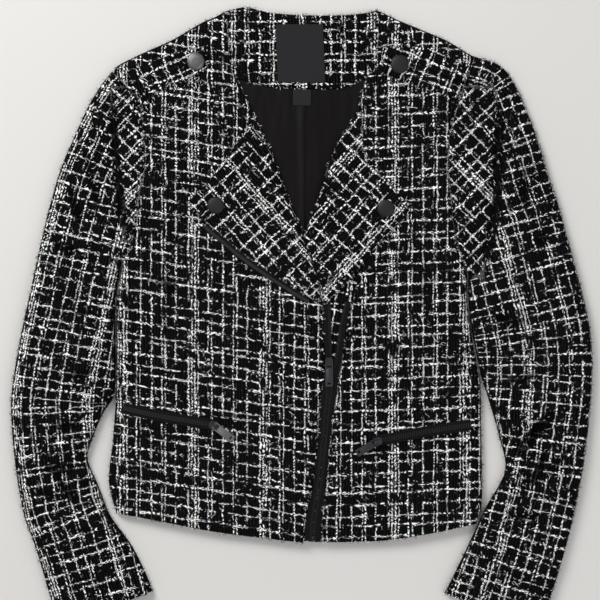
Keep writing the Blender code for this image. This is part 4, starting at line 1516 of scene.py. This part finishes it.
@dataclass
class Zips:
    """Underlap, tapes and coil teeth, with their sizes in millimetres."""

    finishes: Finishes
    tooth_pitch: float = 1.9
    main_inset: float = 1.4
    main_reach: float = 1.5
    lapel_band: tuple[float, float] = (0.7, 7.5)
    lapel_inset: float = 5.2
    lapel_reach: float = 1.6
    pocket_width: float = 11.5
    pocket_reach: float = 2.4
    tooth_lean: float = 0.35
    tooth_profile: Points = ((-0.45, 0.0), (-0.3, 0.6), (0.0, 0.8), (0.3, 0.6), (0.45, 0.0))

    def build(self) -> None:
        """Build the underlap and all five tapes."""
        self._underlap()
        for word, first in (("right", 1), ("left", 3)):
            left = curve(tuple((row[first], row[0]) for row in MAIN_ZIP_STATIONS))
            right = curve(tuple((row[first + 1], row[0]) for row in MAIN_ZIP_STATIONS))
            grid = patch(np.array((left[0], right[0])), np.array((left[-1], right[-1])), left, right,
                         np.linspace(0, 1, 5), np.linspace(0, 1, 126))
            self._tape(f"main_zip_tape_{word}", grid, level(MAIN_TAPE_TOP))
            inner = grid[:, -1] if word == "right" else grid[:, 0]
            inset = self.main_inset if word == "right" else -self.main_inset
            self._teeth(f"main_zip_teeth_{word}", offset(inner, inset), level(MAIN_TAPE_TOP), self.main_reach)
        # The lapel's tape begins past the lapel's corner and ends where the main zip takes over
        edge = curve(RIGHT_LAPEL_LOW)[2 * CURVE_STEPS:-CURVE_STEPS]
        near, far = self.lapel_band
        grid = self._band(edge, near, far, 70)
        self._tape("lapel_zip_tape", grid, level(LAPEL_TAPE_TOP))
        coil = offset(edge, self.lapel_inset)
        self._teeth("lapel_zip_teeth", coil, level(LAPEL_TEETH_TOP), self.lapel_reach)
        half = self.pocket_width / 2.0
        for word, points in POCKET_ZIPS.items():
            top = RELIEF.above_body(POCKET_TAPE_RISE)
            self._tape(f"pocket_zip_tape_{word}", self._band(curve(points), -half, half, 50), top)
            self._teeth(f"pocket_zip_teeth_{word}", curve(points), top, self.pocket_reach)

    @staticmethod
    def _band(line: Line, near: float, far: float, count: int) -> np.ndarray:
        """Grid over a tape between two distances to the right of a line."""
        steps = np.linspace(0.0, 1.0, count + 1)
        return np.stack([along(offset(line, gap), steps) for gap in np.linspace(near, far, 5)])

    def _tape(self, name: str, grid: np.ndarray, height: Height) -> None:
        """Build and dress one tape, with its ribs across it.

        Args:
            name: the CAD node that it replaces.
            grid: its points.
            height: its outer face.
        """
        start, end = grid[0, 0], (grid[0, -1] if grid.shape[0] == 5 else grid[-1, 0])
        way = math.degrees(math.atan2(*(end - start)[::-1]))
        sheet = Sheet("cloth_" + name, grid, height, TAPE, Grain(way - 90.0), turned_edge=0.3,
                      turned_width=0.8, band=True)
        piece = sheet.build()
        declare(sheet, piece, Slot.TAPE, (name,), self.finishes.tape)

    def _teeth(self, name: str, line: Line, height: Height, reach: float) -> None:
        """Coil teeth along a tape, small rounded bars across it.

        Args:
            name: the piece's name.
            line: where the teeth's middles lie.
            height: the tape's outer face.
            reach: half a tooth's length.
        """
        count = int(running_length(line)[-1] / self.tooth_pitch)
        steps = (np.arange(count) + 0.5) / count
        middles = along(line, steps)
        way = along(line, np.minimum(steps + 0.002, 1.0)) - along(line, np.maximum(steps - 0.002, 0.0))
        way /= np.linalg.norm(way, axis=1)[:, None]
        side = np.column_stack([-way[:, 1], way[:, 0]])
        z = height(middles)
        verts, faces = [], []
        for k in range(count):
            base = len(verts)
            for end in (-1.0, 1.0):
                for forward, up in self.tooth_profile:
                    spot = middles[k] + side[k] * end * reach + way[k] * (forward + self.tooth_lean * end)
                    verts.append((spot[0] * MM, spot[1] * MM, (z[k] + up) * MM))
            size = len(self.tooth_profile)
            faces += [(base + i, base + i + 1, base + size + i + 1, base + size + i) for i in range(size - 1)]
            faces += [tuple(base + i for i in range(size))[::-1], tuple(base + size + i for i in range(size))]
        mesh = bpy.data.meshes.new(name)
        mesh.from_pydata(verts, [], faces)
        piece = bpy.data.objects.new(name, mesh)
        bpy.context.scene.collection.objects.link(piece)
        piece.data.materials.append(self.finishes.teeth)
        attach(piece, BODY)
        LOG.info("%s: %d teeth", name, count)

    def _underlap(self) -> None:
        """The tweed flap behind the main zip."""
        left = ((-4, 84), (6, 57), (12, 35), (15, 18), (15, -37), (11, -86), (7, -149), (-4, -230))
        right = ((20, 88), (58, 70), (66, 40), (60, 0), (50, -60), (42, -110), (37, -160), (30, -230))
        ends = curve((left[0], right[0])), curve((left[-1], right[-1]))
        grid = patch(*ends, curve(left), curve(right), shares(16, 40.0), shares(100, 315.0))
        sheet = Sheet("cloth_zip_underlap", grid, level(UNDERLAP_TOP), TWEED, Grain(-8.0, 0.0, (5, 3)))
        piece = sheet.build()
        declare(sheet, piece, Slot.TWEED, ("zip_underlap",), self.finishes.tweed)


@dataclass
class YarnEnds:
    """Loose fibres and boucle loops on the tweed's face and along its edges, in millimetres."""

    sheets: list[Sheet]
    finish: bpy.types.Material
    seed: int = 7
    edge_gap: float = 1.1
    edge_lengths: tuple[float, float] = (0.8, 3.2)
    edge_spread: float = 0.7
    loops_per_m2: float = 52000.0
    loop_lengths: tuple[float, float] = (1.5, 4.5)
    clear_of_hardware: float = 0.25
    half_widths: tuple[float, float] = (0.09, 0.20)
    lifts: tuple[float, float] = (0.2, 0.9)
    bend: float = 0.9
    rises: tuple[float, ...] = (0.35, 1.0, 0.9, 0.3)

    def _spots(self, rng: np.random.Generator) -> tuple[np.ndarray, np.ndarray, np.ndarray]:
        """Roots, headings and lengths of all fibres, in metres.

        Args:
            rng: the seeded random source.

        Returns:
            Roots, headings and lengths.
        """
        roots, ways, sizes = [], [], []
        for sheet in self.sheets:
            face = sheet.face
            rims = ((face[0], face[0] - face[1]), (face[-1], face[-1] - face[-2]),
                    (face[:, 0], face[:, 0] - face[:, 1]), (face[:, -1], face[:, -1] - face[:, -2]))
            for line, out in rims:
                flat = line[:, :2] / MM
                count = int(running_length(flat)[-1] / self.edge_gap)
                share = rng.random(count) * (len(line) - 1.001)
                low = share.astype(int)
                part = (share - low)[:, None]
                roots.append(line[low] * (1 - part) + line[low + 1] * part)
                angle = np.arctan2(out[low, 1], out[low, 0]) + rng.normal(0.0, self.edge_spread, count)
                ways.append(angle)
                sizes.append(rng.uniform(*self.edge_lengths, count) * MM)
            count = int(sheet.area * self.loops_per_m2)
            inner = face[2:-2, 2:-2].reshape(-1, 3)
            roots.append(inner[rng.integers(0, len(inner), count)])
            ways.append(rng.uniform(0.0, 2.0 * math.pi, count))
            sizes.append(rng.uniform(*self.loop_lengths, count) * MM)
        spots = np.vstack(roots)
        free = calm(spots[:, :2] / MM) > self.clear_of_hardware
        return spots[free], np.concatenate(ways)[free], np.concatenate(sizes)[free]

    def build(self) -> None:
        """Build all fibres as one mesh of thin curved strips."""
        rng = np.random.default_rng(self.seed)
        roots, ways, sizes = self._spots(rng)
        count = len(roots)
        bend = rng.normal(0.0, self.bend, count)
        half = rng.uniform(*self.half_widths, count) * MM
        lift = rng.uniform(*self.lifts, count) * MM
        stations = len(self.rises)
        verts = []
        place = roots.copy()
        for k, share in enumerate(self.rises):
            angle = ways + bend * k
            if k:
                ahead = np.column_stack([np.cos(angle), np.sin(angle), np.zeros(count)])
                place = place + ahead * (sizes / (stations - 1))[:, None]
            rise = lift * share
            across = np.column_stack([-np.sin(angle), np.cos(angle), np.zeros(count)]) * half[:, None]
            level = place + np.column_stack([np.zeros((count, 2)), rise])
            verts += [level - across, level + across]
        mesh = bpy.data.meshes.new("yarn_ends")
        all_verts = np.stack(verts, axis=1).reshape(-1, 3)
        all_verts[:, 2] = np.maximum(all_verts[:, 2], 0.0)
        base = np.arange(count)[:, None] * 2 * stations
        strip = [(2 * k, 2 * k + 2, 2 * k + 3, 2 * k + 1) for k in range(stations - 1)]
        faces = np.concatenate([base + np.array(corners) for corners in strip])
        mesh.from_pydata(all_verts.tolist(), [], faces.tolist())
        tone = mesh.attributes.new("tone", "FLOAT", "POINT")
        tone.data.foreach_set("value", np.repeat(rng.random(count), 2 * stations))
        piece = bpy.data.objects.new("yarn_ends", mesh)
        bpy.context.scene.collection.objects.link(piece)
        piece.data.materials.append(self.finish)
        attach(piece, BODY)
        LOG.info("yarn ends: %d fibres", count)


@dataclass(frozen=True)
class PullPlace:
    """Where a pull hangs: its pivot in millimetres, its heading and its tilt in degrees."""

    pivot: tuple[float, float, float]
    heading: float
    tilt: float


PULLS = {
    "pull_pocket_right": PullPlace((-91.318, -112.508, 16.8), -38.0, 9.0),
    "pull_pocket_left": PullPlace((78.818, -129.408, 16.8), 212.0, 9.0),
    "pull_main": PullPlace((28.958, -47.199, 14.2), 270.0, 7.0),
}


@dataclass
class Hardware:
    """Finishes of the sliders, pulls and snaps, and the rims on the pulls, in millimetres."""

    nodes: dict[str, bpy.types.Object]
    finishes: Finishes
    rim_from: float = 5.6
    rim_to: float = 20.2
    rim_half: float = 3.5
    rim_high: float = 0.5
    rim_wide: float = 0.9
    rim_bevel: float = 0.15
    sunk_share: float = 0.7
    plate_top: float = 0.58

    def rims(self) -> None:
        """Model a raised rim with a sunk field on each pull."""
        for name, place in PULLS.items():
            rim = self._rim()
            pivot = Matrix.Translation([value * MM for value in place.pivot])
            turn = Matrix.Rotation(math.radians(place.heading), 4, "Z")
            tilt = Matrix.Rotation(math.radians(place.tilt), 4, "Y")
            rim.data.transform(pivot @ turn @ tilt)
            rim.name = name.replace("pull", "rim")
            # The right pocket's pull's rim takes the lighter copy of the gunmetal, a painted highlight
            bright = name == "pull_pocket_right"
            rim.data.materials.append(self.finishes.bright if bright else self.finishes.metal)
            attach(rim, name)
            LOG.info("built %s", rim.name)

    def _rim(self) -> bpy.types.Object:
        """One rim, lying along X from the pivot.

        Returns:
            The rim, still without a finish.
        """
        bpy.ops.object.select_all(action="DESELECT")
        bpy.ops.mesh.primitive_cube_add(size=1.0)
        rim = bpy.context.active_object
        length = self.rim_to - self.rim_from
        middle = (self.rim_from + self.rim_to) / 2.0
        scale = Matrix.Diagonal((length * MM, 2.0 * self.rim_half * MM, self.rim_high * MM, 1.0))
        lift = Matrix.Translation((middle * MM, 0.0, (self.plate_top + self.rim_high / 2.0) * MM))
        rim.data.transform(lift @ scale)
        bpy.ops.object.mode_set(mode="EDIT")
        made = bmesh.from_edit_mesh(rim.data)
        for face in made.faces:
            face.select_set(face.normal.z > 0.9)
        bmesh.update_edit_mesh(rim.data)
        bpy.ops.mesh.inset(thickness=self.rim_wide * MM)
        bpy.ops.transform.translate(value=(0.0, 0.0, -self.sunk_share * self.rim_high * MM))
        bpy.ops.object.mode_set(mode="OBJECT")
        edges = rim.modifiers.new("Edges", "BEVEL")
        edges.width = self.rim_bevel * MM
        edges.segments = 2
        bpy.ops.object.modifier_apply(modifier=edges.name)
        rim.data.shade_smooth()
        rim.data.set_sharp_from_angle(angle=math.radians(40.0))
        return rim

    def dress(self) -> None:
        """Give the metal nodes their finishes."""
        for name, node in self.nodes.items():
            if name.startswith(("slider_", "pull_")):
                # The right pocket's pull takes the lighter copy of the gunmetal, a painted highlight
                finish = self.finishes.bright if name == "pull_pocket_right" else self.finishes.metal
            # The right epaulette's snap takes the lighter copy too, a painted highlight; the other snaps stay
            # dark
            elif name == "snap_epaulette_right":
                finish = self.finishes.bright
            elif name.startswith("snap_"):
                finish = self.finishes.snap
            else:
                continue
            for spot in node.material_slots:
                spot.material = finish
            LOG.info("dressed %s", name)


@dataclass
class Studio:
    """Floor, soft light and the overhead camera, in metres and watts."""

    width: float = 0.63
    height: float = 2.2
    centre: tuple[float, float] = (-0.0016, 0.0189)
    cloth_height: float = 0.01
    sensor: float = 36.0
    floor_size: float = 6.0
    floor_level: float = -0.0002
    air_light: float = 0.55
    air_colour: tuple[float, float, float, float] = (0.97, 0.98, 1.0, 1.0)
    lamps: tuple[tuple[str, tuple[float, float, float], float, float], ...] = (
        # name, place, side, power
        ("key", (-1.1, 1.3, 1.5), 1.0, 47.0),
        ("fill", (1.1, -1.0, 1.7), 1.6, 16.0),
    )

    def build(self) -> None:
        """Build the floor, the lights and the camera."""
        bpy.ops.object.select_all(action="DESELECT")
        bpy.ops.mesh.primitive_plane_add(size=self.floor_size, location=(0.0, 0.0, self.floor_level))
        floor = bpy.context.active_object
        floor.name = "floor"
        floor.data.materials.append(FloorFinish().make())
        world = bpy.data.worlds.new("soft")
        world.use_nodes = True
        air = world.node_tree.nodes["Background"]
        air.inputs["Color"].default_value = self.air_colour
        air.inputs["Strength"].default_value = self.air_light
        bpy.context.scene.world = world
        bpy.context.scene.view_settings.view_transform = "Standard"
        for name, place, size, power in self.lamps:
            self._light(name, place, size, power)
        lens = bpy.data.cameras.new("overhead")
        lens.sensor_width = self.sensor
        lens.lens = self.sensor * (self.height - self.cloth_height) / self.width
        lens.clip_end = 20.0
        camera = bpy.data.objects.new("overhead", lens)
        camera.location = (*self.centre, self.height)
        bpy.context.scene.collection.objects.link(camera)
        bpy.context.scene.camera = camera

    @staticmethod
    def _light(name: str, place: tuple[float, float, float], size: float, power: float) -> None:
        """A square area light that points at the jacket.

        Args:
            name: the light's name.
            place: where it stands, in metres.
            size: its side.
            power: its power in watts.
        """
        lamp = bpy.data.lights.new(name, "AREA")
        lamp.size = size
        lamp.energy = power
        light = bpy.data.objects.new(name, lamp)
        light.location = place
        aim = np.array(place)
        lean = math.acos(aim[2] / np.linalg.norm(aim))
        light.rotation_euler = (lean, 0.0, math.atan2(aim[1], aim[0]) + math.pi / 2)
        bpy.context.scene.collection.objects.link(light)


def main() -> None:
    """Build the jacket's looks, one sub-assembly after another."""
    logging.basicConfig(level=logging.INFO, format="%(name)s: %(message)s")
    finishes = Finishes()
    Back(finishes).build()
    for side in Side:
        Sleeve(side, finishes).build()
    for side in Side:
        Front(side, finishes, *FRONT_GRAINS[side], EPAULETTES[side.value]).build()
    Zips(finishes).build()
    YarnEnds(HAIRY, finishes.fibres).build()
    hardware = Hardware(frame["nodes"], finishes)
    hardware.dress()
    hardware.rims()
    Studio().build()


if __name__ == "__main__":
    main()
